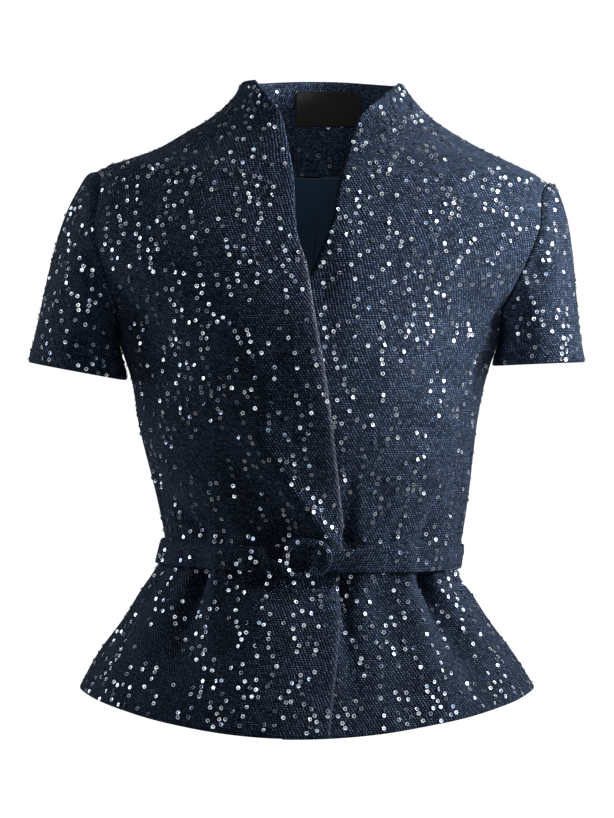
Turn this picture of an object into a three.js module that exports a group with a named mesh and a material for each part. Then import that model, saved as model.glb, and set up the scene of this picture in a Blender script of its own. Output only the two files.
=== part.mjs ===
// Short-sleeve wrap jacket with a grown-on funnel collar, a belted waist and a flared peplum.
// Units are millimetres, +Z is up, +X is the wearer's left and the front faces -Y.
// The origin lies between the wearer's shoulders, at the base of the neck.
import * as THREE from "three";

const DEGREE = Math.PI / 180;

// Cloth
const CLOTH = 2;
const FACING = 1.2;
const FACING_GAP = 0.4;
const LINING = 1;
const LABEL = 0.8;
const SEAM_GAP = 0.3;
const LAP_GAP = 1.7;
const LAYER_GAP = 1.3;
const LAP_PAST = 1.5 * DEGREE;
const LAP_EASE = 11 * DEGREE;

// Body levels, as heights at the centre front
const SHOULDER_TIP = -40;
const UNDERARM = -166;
const WAIST = -359.5;

// Armholes: how far each cuts into the front and the back, and the arm's fullness between
const ARMHOLE_FRONT = 31 * DEGREE;
const ARMHOLE_BACK = 33 * DEGREE;
const ARM_FULLNESS = 0.18;

// Peplum
const HEM_SIDE = -473;
const HEM_DIP = 28;

// Belt. It lifts over its own tail towards its end, which is pinched behind the buckle.
const BELT_TAIL = -34 * DEGREE;
const BELT_END = 351 * DEGREE;
const BELT_LIFT_FROM = 290 * DEGREE;
const BELT_LIFT_FULL = 322 * DEGREE;
const BELT_TAIL_TAPER = 7 * DEGREE;
const BELT_TAIL_POINT = 0.35;
const BELT_PINCH_TAPER = 9 * DEGREE;
const BELT_PINCH = 0.6;
const BELT_WIDTH = 20;
const BELT_CLOTH = 2.2;
const BELT_GAP = 1.4;

// Buckle
const BUCKLE_WIDTH = 39;
const BUCKLE_HEIGHT = 34;
const BUCKLE_RIM = 7;
const BUCKLE_DEPTH = 4.4;
const BUCKLE_GAP = 1.1;
const BUCKLE_X = -2;

// Neck facing
const FACING_TOP = 39;
const FACING_EDGE = -33.5;
const FACING_HALF = 86;
const FACING_TURN = 84 * DEGREE;

// Back lining and its centre pleat
const PLEAT_RISE = 2.4;
const PLEAT_EDGE = 0.3 * DEGREE;
const PLEAT_SPREAD = 12 * DEGREE;
const LINING_FOOT = -353.5;
const LINING_MARGIN = 5 * DEGREE;
const LINING_EASE = 3.5;
const LINING_FREE = -300;
const LINING_HELD = -240;

// Neck label
const LABEL_WIDTH = 56;
const LABEL_HEIGHT = 23;
const LABEL_X = 19;
const LABEL_Z = 22.5;

// Sections of the body. height is at the centre front, tilt the wearer's left side's height over
// the right's, rise the back's over the front's, right and left the reach to the wearer's right
// and left, front and back the depths.
const BODY = [
  { height: 40, tilt: -2, rise: 6.5, right: 55, left: 81, front: 50, back: 60 },
  { height: 26, tilt: 0, rise: 3.5, right: 64, left: 90, front: 52, back: 62 },
  { height: 10, tilt: 0, rise: 1, right: 82, left: 105, front: 57, back: 66 },
  { height: -3, tilt: 0, rise: 0, right: 104, left: 124, front: 62, back: 71 },
  { height: -17, tilt: 0, rise: 0, right: 129, left: 149, front: 69, back: 77 },
  { height: -28, tilt: -4, rise: 0, right: 155, left: 177, front: 74, back: 82 },
  { height: -40, tilt: -10, rise: 0, right: 178, left: 204, front: 79, back: 88 },
  { height: -102, tilt: -5, rise: 0, right: 175, left: 188, front: 106, back: 110 },
  { height: -166, tilt: -3, rise: 0, right: 164, left: 167, front: 123, back: 111 },
  { height: -213, tilt: 0, rise: 0, right: 149.5, left: 151, front: 126, back: 106 },
  { height: -248, tilt: 0, rise: 0, right: 143.5, left: 144.5, front: 120, back: 100 },
  { height: -302, tilt: -2, rise: 0, right: 130, left: 138.5, front: 105, back: 91 },
  { height: -343, tilt: -4, rise: 0, right: 121.5, left: 132, front: 95, back: 88 },
  { height: -360, tilt: -5, rise: 0, right: 120, left: 127, front: 92, back: 87 },
];

// Sections of the peplum. drop runs from 0 at the waist seam to 1 at the hem.
const PEPLUM = [
  { drop: 0, right: 120, left: 127, front: 92, back: 87 },
  { drop: 0.15, right: 130, left: 129, front: 95, back: 92 },
  { drop: 0.3, right: 142, left: 141, front: 102, back: 100 },
  { drop: 0.5, right: 156.5, left: 156, front: 112, back: 111 },
  { drop: 0.75, right: 178, left: 177.5, front: 124, back: 124 },
  { drop: 1, right: 194, left: 194, front: 135, back: 136 },
];

// Free edge of the wearer's right front, which laps over: collar corner, neckline, wrap and hem
const OVER_EDGE = [
  { height: 40, x: -45 },
  { height: 14.5, x: -24 },
  { height: -4.5, x: -18 },
  { height: -44, x: -10.8 },
  { height: -66, x: -8.3 },
  { height: -91, x: -5.6 },
  { height: -117, x: 0.6 },
  { height: -155, x: 6 },
  { height: -204, x: 14.5 },
  { height: -269, x: 23 },
  { height: -347, x: 29.5 },
  { height: -408, x: 27 },
  { height: -439, x: 24.5 },
  { height: -502, x: 18 },
];

// Free edge of the wearer's left front, which passes under at the foot of the V
const UNDER_EDGE = [
  { height: 40, x: 78.5 },
  { height: 26, x: 64 },
  { height: 9, x: 45 },
  { height: -16, x: 35.5 },
  { height: -49, x: 26 },
  { height: -81, x: 18.5 },
  { height: -99, x: 12.2 },
  { height: -120, x: 4.5 },
  { height: -133, x: -1 },
  { height: -175, x: -9 },
  { height: -250, x: -17 },
  { height: -360, x: -18 },
  { height: -502, x: -20 },
];

// Soft folds of the body, from one end to the other: angles in degrees from the centre front
// towards the wearer's left, depth inward (below 0 a ridge) and half-width
const BODY_FOLDS = [
  { fromAngle: -74, fromHeight: -296, toAngle: -38, toHeight: -345, depth: 6, width: 13 },
  { fromAngle: -15, fromHeight: -258, toAngle: 4, toHeight: -345, depth: -4, width: 17 },
  { fromAngle: -27, fromHeight: -285, toAngle: -14, toHeight: -345, depth: 3.5, width: 15 },
  { fromAngle: 58, fromHeight: -112, toAngle: 44, toHeight: -200, depth: 4, width: 22 },
  { fromAngle: -57, fromHeight: -118, toAngle: -45, toHeight: -190, depth: 2.5, width: 22 },
  { fromAngle: 66, fromHeight: -300, toAngle: 44, toHeight: -345, depth: 3.5, width: 15 },
  { fromAngle: 118, fromHeight: -300, toAngle: 140, toHeight: -345, depth: 5, width: 15 },
  { fromAngle: 242, fromHeight: -290, toAngle: 216, toHeight: -345, depth: 5.5, width: 15 },
  { fromAngle: 172, fromHeight: -262, toAngle: 178, toHeight: -345, depth: 3.5, width: 18 },
];

// Folds of the peplum, in the same way, from the belt towards the hem
const PEPLUM_FOLDS = [
  { fromAngle: -45, fromDrop: 0.08, toAngle: -40, toDrop: 0.5, depth: 7, fromWidth: 10, toWidth: 18 },
  { fromAngle: -70, fromDrop: 0.12, toAngle: -76, toDrop: 0.7, depth: 3.5, fromWidth: 12, toWidth: 24 },
  { fromAngle: -14, fromDrop: 0.3, toAngle: -17, toDrop: 1.1, depth: -4, fromWidth: 20, toWidth: 34 },
  { fromAngle: 27, fromDrop: 0.25, toAngle: 29, toDrop: 1.1, depth: 3.5, fromWidth: 14, toWidth: 24 },
  { fromAngle: 51, fromDrop: 0.06, toAngle: 53, toDrop: 0.72, depth: 10, fromWidth: 9, toWidth: 22 },
  { fromAngle: 76, fromDrop: 0.15, toAngle: 81, toDrop: 0.7, depth: 3.5, fromWidth: 12, toWidth: 24 },
  { fromAngle: 108, fromDrop: 0.1, toAngle: 106, toDrop: 0.95, depth: 5, fromWidth: 12, toWidth: 24 },
  { fromAngle: 137, fromDrop: 0.06, toAngle: 133, toDrop: 0.85, depth: 9, fromWidth: 10, toWidth: 24 },
  { fromAngle: 168, fromDrop: 0.1, toAngle: 166, toDrop: 1, depth: 5, fromWidth: 12, toWidth: 26 },
  { fromAngle: 197, fromDrop: 0.06, toAngle: 201, toDrop: 0.8, depth: 8, fromWidth: 10, toWidth: 22 },
  { fromAngle: 229, fromDrop: 0.1, toAngle: 233, toDrop: 0.95, depth: 6, fromWidth: 12, toWidth: 26 },
  { fromAngle: 257, fromDrop: 0.15, toAngle: 254, toDrop: 0.9, depth: 4, fromWidth: 12, toWidth: 22 },
];

// Sleeves: side is the sign of X, outer and inner the hem's two ends, lean the wall's slope at
// the hem from upright, headReach and hemReach how long each end of the sleeve keeps its slope
const SLEEVES = [
  {
    name: "sleeve_right", side: -1, lean: 16 * DEGREE, headReach: 118, hemReach: 160,
    outer: { x: 237, z: -197 }, inner: { x: 152.8, z: -212.5 },
  },
  {
    name: "sleeve_left", side: 1, lean: 14 * DEGREE, headReach: 92, hemReach: 150,
    outer: { x: 236.5, z: -197 }, inner: { x: 163.3, z: -200.5 },
  },
];
const SLEEVE_DEPTH = 60;
const SLEEVE_HEAD_SLOPE = 26 * DEGREE;
const SLEEVE_FOOT_SLOPE = 72 * DEGREE;

// The radius that turns angles into lengths along the cloth, and the side seams
const CLOTH_RADIUS = 135;
const SIDE = 90 * DEGREE;
const SEAM_TURN = SEAM_GAP / 2 / CLOTH_RADIUS;

// Where folds fade out towards the waist seam, in mm above it and as a drop below it
const BODY_FOLD_FADE = 16;
const PEPLUM_FOLD_FADE = 0.12;

// Small steps either side of a point, which give the cloth's slope there
const SLOPE_TURN = 0.002;
const SLOPE_HEIGHT = 0.2;
const SLOPE_DROP = 0.002;
const SLEEVE_SLOPE_STEP = 0.01;

// Steps of the meshes
const COLLAR_HEIGHTS = [40, 30, 20, 10, 0, -9, -18, -26, -33.5];
const ARMHOLE_STEPS = 10;
const WAIST_STEPS = 10;
const FRONT_COLUMNS = 11;
const EDGE_REACH = 0.96;
const LAPPED_COLUMNS = 3;
const LAPPED_SHARE = 0.12;
const BACK_COLUMNS = 18;
const PEPLUM_STEPS = 6;
const PEPLUM_FRONT_COLUMNS = 16;
const PEPLUM_BACK_COLUMNS = 30;
const SLEEVE_STEPS = 8;
const BELT_STEPS = 56;
const BUCKLE_STEPS = 24;
const BUCKLE_SECTION = 8;
const FACING_HEIGHTS = [FACING_TOP, 30, 20, 10, 0, -9, -18, -26, FACING_EDGE];
const FACING_COLUMNS = 12;
const LINING_STEPS = 14;
const LINING_COLUMNS = 7;
const PLEAT_COLUMNS = 3;
const LABEL_COLUMNS = 6;

const COLOURS = {
  tweed: { color: 0x20293d, roughness: 0.85, metalness: 0 },
  lining: { color: 0x173848, roughness: 0.4, metalness: 0 },
  label: { color: 0x0b0b0e, roughness: 0.6, metalness: 0 },
};

function clamp(value, low, high) {
  return Math.min(Math.max(value, low), high);
}

function smoothstep(low, high, value) {
  const t = clamp((value - low) / (high - low), 0, 1);
  return t * t * (3 - 2 * t);
}

// A column of a table as a smooth curve over its key column
function curve(rows, key, column, at) {
  const falling = rows[0][key] > rows[rows.length - 1][key];
  const sign = falling ? -1 : 1;
  let i = 0;
  while (i < rows.length - 2 && sign * at > sign * rows[i + 1][key]) i += 1;
  const slope = (k) => {
    const before = rows[Math.max(k - 1, 0)];
    const after = rows[Math.min(k + 1, rows.length - 1)];
    return (after[column] - before[column]) / (after[key] - before[key]);
  };
  const start = rows[i];
  const end = rows[i + 1];
  const span = end[key] - start[key];
  const t = clamp((at - start[key]) / span, 0, 1);
  const t2 = t * t;
  const t3 = t2 * t;
  return (2 * t3 - 3 * t2 + 1) * start[column] + (t3 - 2 * t2 + t) * span * slope(i)
    + (3 * t2 - 2 * t3) * end[column] + (t3 - t2) * span * slope(i + 1);
}

// A section's point: ring holds the reach to each side, the depths and the height
function sectionPoint(ring, angle, height, inward) {
  const centre = (ring.left - ring.right) / 2;
  const half = (ring.left + ring.right) / 2 - inward;
  const depth = (Math.cos(angle) > 0 ? ring.front : ring.back) - inward;
  return new THREE.Vector3(centre + half * Math.sin(angle), -depth * Math.cos(angle), height);
}

function bodyRing(height) {
  const ring = {};
  for (const column of ["tilt", "rise", "right", "left", "front", "back"]) {
    ring[column] = curve(BODY, "height", column, height);
  }
  return ring;
}

// How far a level lies between the armhole's middle (0) and its two ends (-1 and 1)
function armholePlace(height) {
  const middle = (SHOULDER_TIP + UNDERARM) / 2;
  return (height - middle) / ((SHOULDER_TIP - UNDERARM) / 2);
}

// The level of the armhole's edge at a turn round it from the shoulder
function armholeHeight(turn) {
  return (SHOULDER_TIP + UNDERARM) / 2 + (SHOULDER_TIP - UNDERARM) / 2 * Math.cos(turn);
}

// The angle at which the body's cloth ends at the armhole, measured back from the side
function armholeCut(height, widest) {
  const place = armholePlace(height);
  return Math.abs(place) < 1 ? widest * Math.sqrt(1 - place * place) : 0;
}

function nearestTurn(angle, centre) {
  return angle + 2 * Math.PI * Math.round((centre - angle) / (2 * Math.PI));
}

// Depth of one fold at a point, both given along the cloth in mm from the fold's start
function foldDepth(fold, across, along, endAcross, endAlong) {
  const length2 = endAcross * endAcross + endAlong * endAlong;
  const place = clamp((across * endAcross + along * endAlong) / length2, 0, 1);
  const distance = Math.hypot(across - place * endAcross, along - place * endAlong);
  const width = fold.fromWidth + (fold.toWidth - fold.fromWidth) * place;
  return fold.depth * Math.exp(-((distance / width) ** 2));
}

function bodyFolds(angle, height) {
  let depth = 0;
  for (const fold of BODY_FOLDS) {
    const start = fold.fromAngle * DEGREE;
    const across = (nearestTurn(angle, start) - start) * CLOTH_RADIUS;
    const endAcross = (fold.toAngle - fold.fromAngle) * DEGREE * CLOTH_RADIUS;
    const widths = { depth: fold.depth, fromWidth: fold.width, toWidth: fold.width };
    depth += foldDepth(
      widths, across, fold.fromHeight - height, endAcross, fold.fromHeight - fold.toHeight);
  }
  return depth * smoothstep(WAIST, WAIST + BODY_FOLD_FADE, height);
}

function peplumFolds(angle, drop) {
  let depth = 0;
  const fall = WAIST - HEM_SIDE;
  for (const fold of PEPLUM_FOLDS) {
    const start = fold.fromAngle * DEGREE;
    const across = (nearestTurn(angle, start) - start) * CLOTH_RADIUS;
    const endAcross = (fold.toAngle - fold.fromAngle) * DEGREE * CLOTH_RADIUS;
    depth += foldDepth(
      fold, across, (drop - fold.fromDrop) * fall, endAcross, (fold.toDrop - fold.fromDrop) * fall);
  }
  return depth * smoothstep(0, PEPLUM_FOLD_FADE, drop);
}

// Outer face of the body's cloth
function bodyPoint(angle, height) {
  const ring = bodyRing(height);
  const place = clamp(armholePlace(height), -1, 1);
  const fullness = 1 + ARM_FULLNESS * (1 - place * place) ** 2;
  const centre = (ring.left - ring.right) / 2;
  const half = (ring.left + ring.right) / 2 * fullness;
  const full = { ...ring, left: half + centre, right: half - centre };
  const rise = ring.rise * Math.max(-Math.cos(angle), 0) ** 2;
  const level = height + ring.tilt * Math.sin(angle) / 2 + rise;
  return sectionPoint(full, angle, level, bodyFolds(angle, height));
}

// Outer face of the peplum's cloth
function peplumPoint(angle, drop) {
  const ring = {};
  for (const column of ["right", "left", "front", "back"]) {
    ring[column] = curve(PEPLUM, "drop", column, drop);
  }
  const waistTilt = bodyRing(WAIST).tilt * Math.sin(angle) / 2;
  const hem = HEM_SIDE - HEM_DIP * Math.cos(angle) ** 2;
  const level = WAIST + waistTilt + drop * (hem - WAIST - waistTilt);
  return sectionPoint(ring, angle, level, peplumFolds(angle, drop));
}

// The cloth's outward direction, from its slopes both ways
function outward(surface, angle, place, step) {
  const across = surface(angle + SLOPE_TURN, place).sub(surface(angle - SLOPE_TURN, place));
  const up = surface(angle, place + step).sub(surface(angle, place - step));
  return across.cross(up).normalize();
}

const bodyNormal = (angle, height) => outward(bodyPoint, angle, height, SLOPE_HEIGHT);
const peplumNormal = (angle, drop) => outward(peplumPoint, angle, drop, -SLOPE_DROP);

function bodyOffset(angle, height, inward) {
  return bodyPoint(angle, height).addScaledVector(bodyNormal(angle, height), -inward);
}

function peplumOffset(angle, drop, inward) {
  return peplumPoint(angle, drop).addScaledVector(peplumNormal(angle, drop), -inward);
}

// The angle at which a front's free edge stands at a level
function edgeAngle(edge, height, ring) {
  const centre = (ring.left - ring.right) / 2;
  const half = (ring.left + ring.right) / 2;
  const x = curve(edge, "height", "x", height);
  return Math.asin(clamp((x - centre) / half, -EDGE_REACH, EDGE_REACH));
}

function bodyEdge(edge, height) {
  return edgeAngle(edge, height, bodyRing(height));
}

function peplumEdge(edge, drop) {
  const ring = {};
  for (const column of ["right", "left"]) ring[column] = curve(PEPLUM, "drop", column, drop);
  return edgeAngle(edge, WAIST + drop * (HEM_SIDE - HEM_DIP - WAIST), ring);
}

// How far the under front sinks below the over front's cloth, easing off past the wrap edge
function underSink(angle, over) {
  if (over === null) return 0;
  return (CLOTH + LAP_GAP) * (1 - smoothstep(LAP_PAST, LAP_EASE, angle - over));
}

function piece(name, vertices, triangles, finish) {
  const geometry = new THREE.BufferGeometry();
  geometry.setAttribute("position", new THREE.Float32BufferAttribute(vertices, 3));
  geometry.setIndex(triangles);
  geometry.computeVertexNormals();
  const mesh = new THREE.Mesh(geometry, new THREE.MeshStandardMaterial(finish));
  mesh.name = name;
  return mesh;
}

// A closed wall between two grids of points. rows[i][j] holds outer and inner; a ring's columns
// join round.
function wall(name, rows, finish, ring = false) {
  const columns = rows[0].length;
  const vertices = [];
  for (const row of rows) {
    for (const point of row) vertices.push(...point.outer.toArray(), ...point.inner.toArray());
  }
  const index = (i, j, inner) => 2 * (i * columns + (j % columns)) + inner;
  const triangles = [];
  const quad = (a, b, c, d) => triangles.push(a, b, c, a, c, d);
  const spans = ring ? columns : columns - 1;
  const last = rows.length - 1;
  for (let j = 0; j < spans; j += 1) {
    for (let i = 0; i < last; i += 1) {
      quad(index(i, j, 0), index(i + 1, j, 0), index(i + 1, j + 1, 0), index(i, j + 1, 0));
      quad(index(i, j, 1), index(i, j + 1, 1), index(i + 1, j + 1, 1), index(i + 1, j, 1));
    }
    quad(index(0, j, 0), index(0, j + 1, 0), index(0, j + 1, 1), index(0, j, 1));
    quad(index(last, j, 0), index(last, j, 1), index(last, j + 1, 1), index(last, j + 1, 0));
  }
  for (let i = 0; i < last && !ring; i += 1) {
    const end = columns - 1;
    quad(index(i, 0, 0), index(i, 0, 1), index(i + 1, 0, 1), index(i + 1, 0, 0));
    quad(index(i, end, 0), index(i + 1, end, 0), index(i + 1, end, 1), index(i, end, 1));
  }
  return piece(name, vertices, triangles, finish);
}

function spread(start, end, steps) {
  return Array.from({ length: steps + 1 }, (unused, i) => start + (end - start) * i / steps);
}

// Levels of the body's rows: collar, armhole, then down to the waist seam
function bodyHeights() {
  const armhole = spread(0, Math.PI, ARMHOLE_STEPS).map(armholeHeight);
  const below = spread(UNDERARM, WAIST + SEAM_GAP / 2, WAIST_STEPS).slice(1);
  return [...COLLAR_HEIGHTS, ...armhole, ...below];
}

// Angles of a row's columns, evenly spread, or with a column just past the lap's edge
function columnAngles(start, end, columns, lap = null) {
  if (lap === null) return spread(start, end, columns);
  const knee = Math.max(start + (end - start) * LAPPED_SHARE, lap + LAP_PAST);
  const lapped = spread(start, knee, LAPPED_COLUMNS).slice(0, -1);
  return [...lapped, ...spread(knee, end, columns - LAPPED_COLUMNS)];
}

// A body panel between two angles that change with the level. lap gives the angle of the edge
// that laps over it, if one does.
function bodyPanel(name, from, to, columns, lap = () => null) {
  const rows = bodyHeights().map((height) => {
    const over = lap(height);
    const row = [];
    for (const angle of columnAngles(from(height), to(height), columns, over)) {
      const inward = underSink(angle, over);
      row.push({
        outer: bodyOffset(angle, height, inward),
        inner: bodyOffset(angle, height, inward + CLOTH),
      });
    }
    return row;
  });
  return wall(name, rows, COLOURS.tweed);
}

function peplumPanel(name, from, to, columns, lap = () => null) {
  const rows = [];
  for (const drop of spread(SEAM_GAP / 2 / (WAIST - HEM_SIDE), 1, PEPLUM_STEPS)) {
    const over = lap(drop);
    const row = [];
    for (const angle of columnAngles(from(drop), to(drop), columns, over)) {
      const inward = underSink(angle, over);
      row.push({
        outer: peplumOffset(angle, drop, inward),
        inner: peplumOffset(angle, drop, inward + CLOTH),
      });
    }
    rows.push(row);
  }
  return wall(name, rows, COLOURS.tweed);
}

function sideOfFront(height) {
  return SIDE - armholeCut(height, ARMHOLE_FRONT) - SEAM_TURN;
}

function sideOfBack(height) {
  return SIDE + armholeCut(height, ARMHOLE_BACK) + SEAM_TURN;
}

function fronts() {
  return [
    bodyPanel("front_right", (height) => -sideOfFront(height),
      (height) => bodyEdge(OVER_EDGE, height), FRONT_COLUMNS),
    bodyPanel("front_left", (height) => bodyEdge(UNDER_EDGE, height), sideOfFront,
      FRONT_COLUMNS, (height) => bodyEdge(OVER_EDGE, height)),
  ];
}

function back() {
  return bodyPanel("back", sideOfBack, (height) => 2 * Math.PI - sideOfBack(height),
    BACK_COLUMNS);
}

function peplum() {
  return [
    peplumPanel("peplum_front_right", () => SEAM_TURN - SIDE,
      (drop) => peplumEdge(OVER_EDGE, drop), PEPLUM_FRONT_COLUMNS),
    peplumPanel("peplum_front_left", (drop) => peplumEdge(UNDER_EDGE, drop),
      () => SIDE - SEAM_TURN, PEPLUM_FRONT_COLUMNS, (drop) => peplumEdge(OVER_EDGE, drop)),
    peplumPanel("peplum_back", () => SIDE + SEAM_TURN, () => 3 * SIDE - SEAM_TURN,
      PEPLUM_BACK_COLUMNS),
  ];
}

// A sleeve's outer face: turn runs round from the shoulder by the front to the underarm and
// back, place from the armhole seam (0) to the hem (1)
function sleevePoint(sleeve, turn, place) {
  const cut = Math.sin(turn) > 0 ? ARMHOLE_FRONT : ARMHOLE_BACK;
  const angle = sleeve.side * (SIDE - cut * Math.sin(turn));
  const start = bodyPoint(angle, armholeHeight(turn));
  const under = (1 - Math.cos(turn)) / 2;
  const slope = SLEEVE_HEAD_SLOPE + (SLEEVE_FOOT_SLOPE - SLEEVE_HEAD_SLOPE) * under;
  const leave = new THREE.Vector3(sleeve.side * Math.cos(slope), 0, -Math.sin(slope));
  start.addScaledVector(leave, SEAM_GAP);
  const { outer, inner } = sleeve;
  const end = new THREE.Vector3(
    sleeve.side * (outer.x + (inner.x - outer.x) * under),
    -SLEEVE_DEPTH * Math.sin(turn),
    outer.z + (inner.z - outer.z) * under,
  );
  const length = start.distanceTo(end) / outerLength(sleeve);
  const hemLean = sleeve.lean * (1 - under);
  const arrive = new THREE.Vector3(sleeve.side * Math.sin(hemLean), 0, -Math.cos(hemLean));
  leave.multiplyScalar(sleeve.headReach * length);
  arrive.multiplyScalar(sleeve.hemReach * length);
  const p2 = place * place;
  const p3 = p2 * place;
  return new THREE.Vector3()
    .addScaledVector(start, 2 * p3 - 3 * p2 + 1)
    .addScaledVector(leave, p3 - 2 * p2 + place)
    .addScaledVector(end, 3 * p2 - 2 * p3)
    .addScaledVector(arrive, p3 - p2);
}

function outerLength(sleeve) {
  const tip = bodyPoint(sleeve.side * SIDE, SHOULDER_TIP);
  return Math.hypot(sleeve.side * sleeve.outer.x - tip.x, sleeve.outer.z - tip.z);
}

function sleeve(shape) {
  const rows = [];
  const around = 2 * ARMHOLE_STEPS;
  for (const place of spread(0, 1, SLEEVE_STEPS)) {
    const row = [];
    for (let j = 0; j < around; j += 1) {
      const turn = shape.side * -2 * Math.PI * j / around;
      const outer = sleevePoint(shape, turn, place);
      const low = Math.max(place - SLEEVE_SLOPE_STEP, 0);
      const high = Math.min(place + SLEEVE_SLOPE_STEP, 1);
      const across = sleevePoint(shape, turn + SLEEVE_SLOPE_STEP, place)
        .sub(sleevePoint(shape, turn - SLEEVE_SLOPE_STEP, place));
      const down = sleevePoint(shape, turn, high).sub(sleevePoint(shape, turn, low));
      const normal = across.cross(down).normalize().multiplyScalar(shape.side);
      row.push({ outer, inner: outer.clone().addScaledVector(normal, -CLOTH) });
    }
    rows.push(row);
  }
  return wall(shape.name, rows, COLOURS.tweed, true);
}

// The belt winds once round the waist, from its hidden tail under the wearer's right to the
// end that is pinched behind the buckle
function belt() {
  const ring = bodyRing(WAIST);
  const rows = [1, 0, -1].map((side) => {
    const row = [];
    for (const share of spread(0, 1, BELT_STEPS)) {
      const closer = share - Math.sin(2 * Math.PI * share) / 10;
      const angle = BELT_TAIL + (BELT_END - BELT_TAIL) * closer;
      const lift = (BELT_CLOTH + SEAM_GAP) * smoothstep(BELT_LIFT_FROM, BELT_LIFT_FULL, angle);
      const fromTail = smoothstep(BELT_TAIL, BELT_TAIL + BELT_TAIL_TAPER, angle);
      const tail = BELT_TAIL_POINT + (1 - BELT_TAIL_POINT) * fromTail;
      const toEnd = smoothstep(BELT_END - BELT_PINCH_TAPER, BELT_END - 2 * DEGREE, angle);
      const pinch = 1 - (1 - BELT_PINCH) * toEnd;
      const tip = BELT_WIDTH / 2 * tail * pinch;
      const level = WAIST + side * tip + ring.tilt * Math.sin(angle) / 2;
      const edges = [beltClear(angle, 1), beltClear(angle, -1)];
      const clear = lift + (edges[0] * (1 + side) + edges[1] * (1 - side)) / 2;
      row.push({
        outer: sectionPoint(ring, angle, level, -(clear + BELT_CLOTH)),
        inner: sectionPoint(ring, angle, level, -clear),
      });
    }
    return row;
  });
  return wall("belt_strap", rows, COLOURS.tweed);
}

// Room between the waist's section and the belt, whose edges ride out on the cloth
function beltClear(angle, side) {
  const reach = BELT_WIDTH / 2;
  const ring = bodyRing(WAIST);
  const row = 1 / PEPLUM_STEPS;
  const share = reach / (WAIST - HEM_SIDE) / row;
  const below = peplumPoint(angle, 0).lerp(peplumPoint(angle, row), share);
  const over = side > 0 ? bodyPoint(angle, WAIST + reach) : below;
  const plain = sectionPoint(ring, angle, over.z, 0);
  const centre = (ring.left - ring.right) / 2;
  const rise = Math.hypot(over.x - centre, over.y) - Math.hypot(plain.x - centre, plain.y);
  return Math.max(rise, 0) + BELT_GAP;
}

// A soft rounded ring that stands in front of the strap
function buckle() {
  const front = sectionPoint(bodyRing(WAIST), 0, WAIST, 0).y - beltClear(0, 1);
  const middle = front - BELT_CLOTH - BUCKLE_GAP - BUCKLE_DEPTH / 2;
  const rows = [];
  for (const turn of spread(0, 2 * Math.PI, BUCKLE_STEPS).slice(1)) {
    const row = [];
    for (const roll of spread(0, 2 * Math.PI, BUCKLE_SECTION).slice(1)) {
      const reach = BUCKLE_RIM / 2 * Math.cos(roll) - BUCKLE_RIM / 2;
      row.push(new THREE.Vector3(
        BUCKLE_X + (BUCKLE_WIDTH / 2 + reach) * Math.cos(turn),
        middle - BUCKLE_DEPTH / 2 * Math.sin(roll),
        WAIST + (BUCKLE_HEIGHT / 2 + reach) * Math.sin(turn),
      ));
    }
    rows.push(row);
  }
  return torus("belt_buckle", rows, COLOURS.tweed);
}

// A closed tube through rings of points that join round both ways
function torus(name, rows, finish) {
  const vertices = rows.flat().flatMap((point) => point.toArray());
  const columns = rows[0].length;
  const index = (i, j) => (i % rows.length) * columns + (j % columns);
  const triangles = [];
  for (let i = 0; i < rows.length; i += 1) {
    for (let j = 0; j < columns; j += 1) {
      const a = index(i, j);
      const c = index(i + 1, j + 1);
      triangles.push(a, index(i + 1, j), c, a, c, index(i, j + 1));
    }
  }
  return piece(name, vertices, triangles, finish);
}

// A piece inside the back, made from the back's own points and moved in
function backSkin(name, heights, angles, inward, thickness, finish, rise = () => 0) {
  const rows = heights.map((height) => angles(height).map((angle) => {
    const depth = inward + rise(angle, height);
    return {
      outer: bodyOffset(angle, height, depth),
      inner: bodyOffset(angle, height, depth + thickness),
    };
  }));
  return wall(name, rows, finish);
}

function neckFacing() {
  const angles = (height) => {
    const ring = bodyRing(height);
    const half = (ring.left + ring.right) / 2;
    const reach = Math.asin(Math.min(FACING_HALF / half, Math.sin(FACING_TURN)));
    return spread(Math.PI - reach, Math.PI + reach, FACING_COLUMNS);
  };
  return backSkin("back_neck_facing", FACING_HEIGHTS, angles, CLOTH + FACING_GAP, FACING,
    COLOURS.tweed);
}

// The lining's centre pleat, whose right side folds over with its edge at the centre, and the
// ease with which the lining leaves the folds at the waist
function liningRise(angle, height) {
  const beyond = angle - Math.PI;
  const pleat = beyond > 0 ? PLEAT_RISE * (1 - smoothstep(0, PLEAT_SPREAD, beyond)) : 0;
  return pleat + LINING_EASE * (1 - smoothstep(LINING_FREE, LINING_HELD, height));
}

function backLining() {
  const heights = spread(FACING_EDGE - SEAM_GAP, LINING_FOOT, LINING_STEPS);
  const angles = (height) => {
    const start = sideOfBack(height) + LINING_MARGIN;
    const end = 2 * Math.PI - start;
    const fold = spread(Math.PI + PLEAT_EDGE, Math.PI + PLEAT_SPREAD, PLEAT_COLUMNS);
    return [
      ...spread(start, Math.PI, LINING_COLUMNS),
      ...fold,
      ...spread(Math.PI + PLEAT_SPREAD, end, LINING_COLUMNS - 1).slice(1),
    ];
  };
  return backSkin("back_lining", heights, angles, CLOTH + LAYER_GAP, LINING, COLOURS.lining,
    liningRise);
}

function neckLabel() {
  const ring = bodyRing(LABEL_Z);
  const centre = (ring.left - ring.right) / 2;
  const half = (ring.left + ring.right) / 2;
  const side = (x) => Math.PI - Math.asin((x - centre) / half);
  const heights = [LABEL_Z + LABEL_HEIGHT / 2, LABEL_Z, LABEL_Z - LABEL_HEIGHT / 2];
  const start = side(LABEL_X + LABEL_WIDTH / 2);
  const angles = () => spread(start, side(LABEL_X - LABEL_WIDTH / 2), LABEL_COLUMNS);
  return backSkin("neck_label", heights, angles, CLOTH + FACING + LAYER_GAP, LABEL, COLOURS.label);
}

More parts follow.
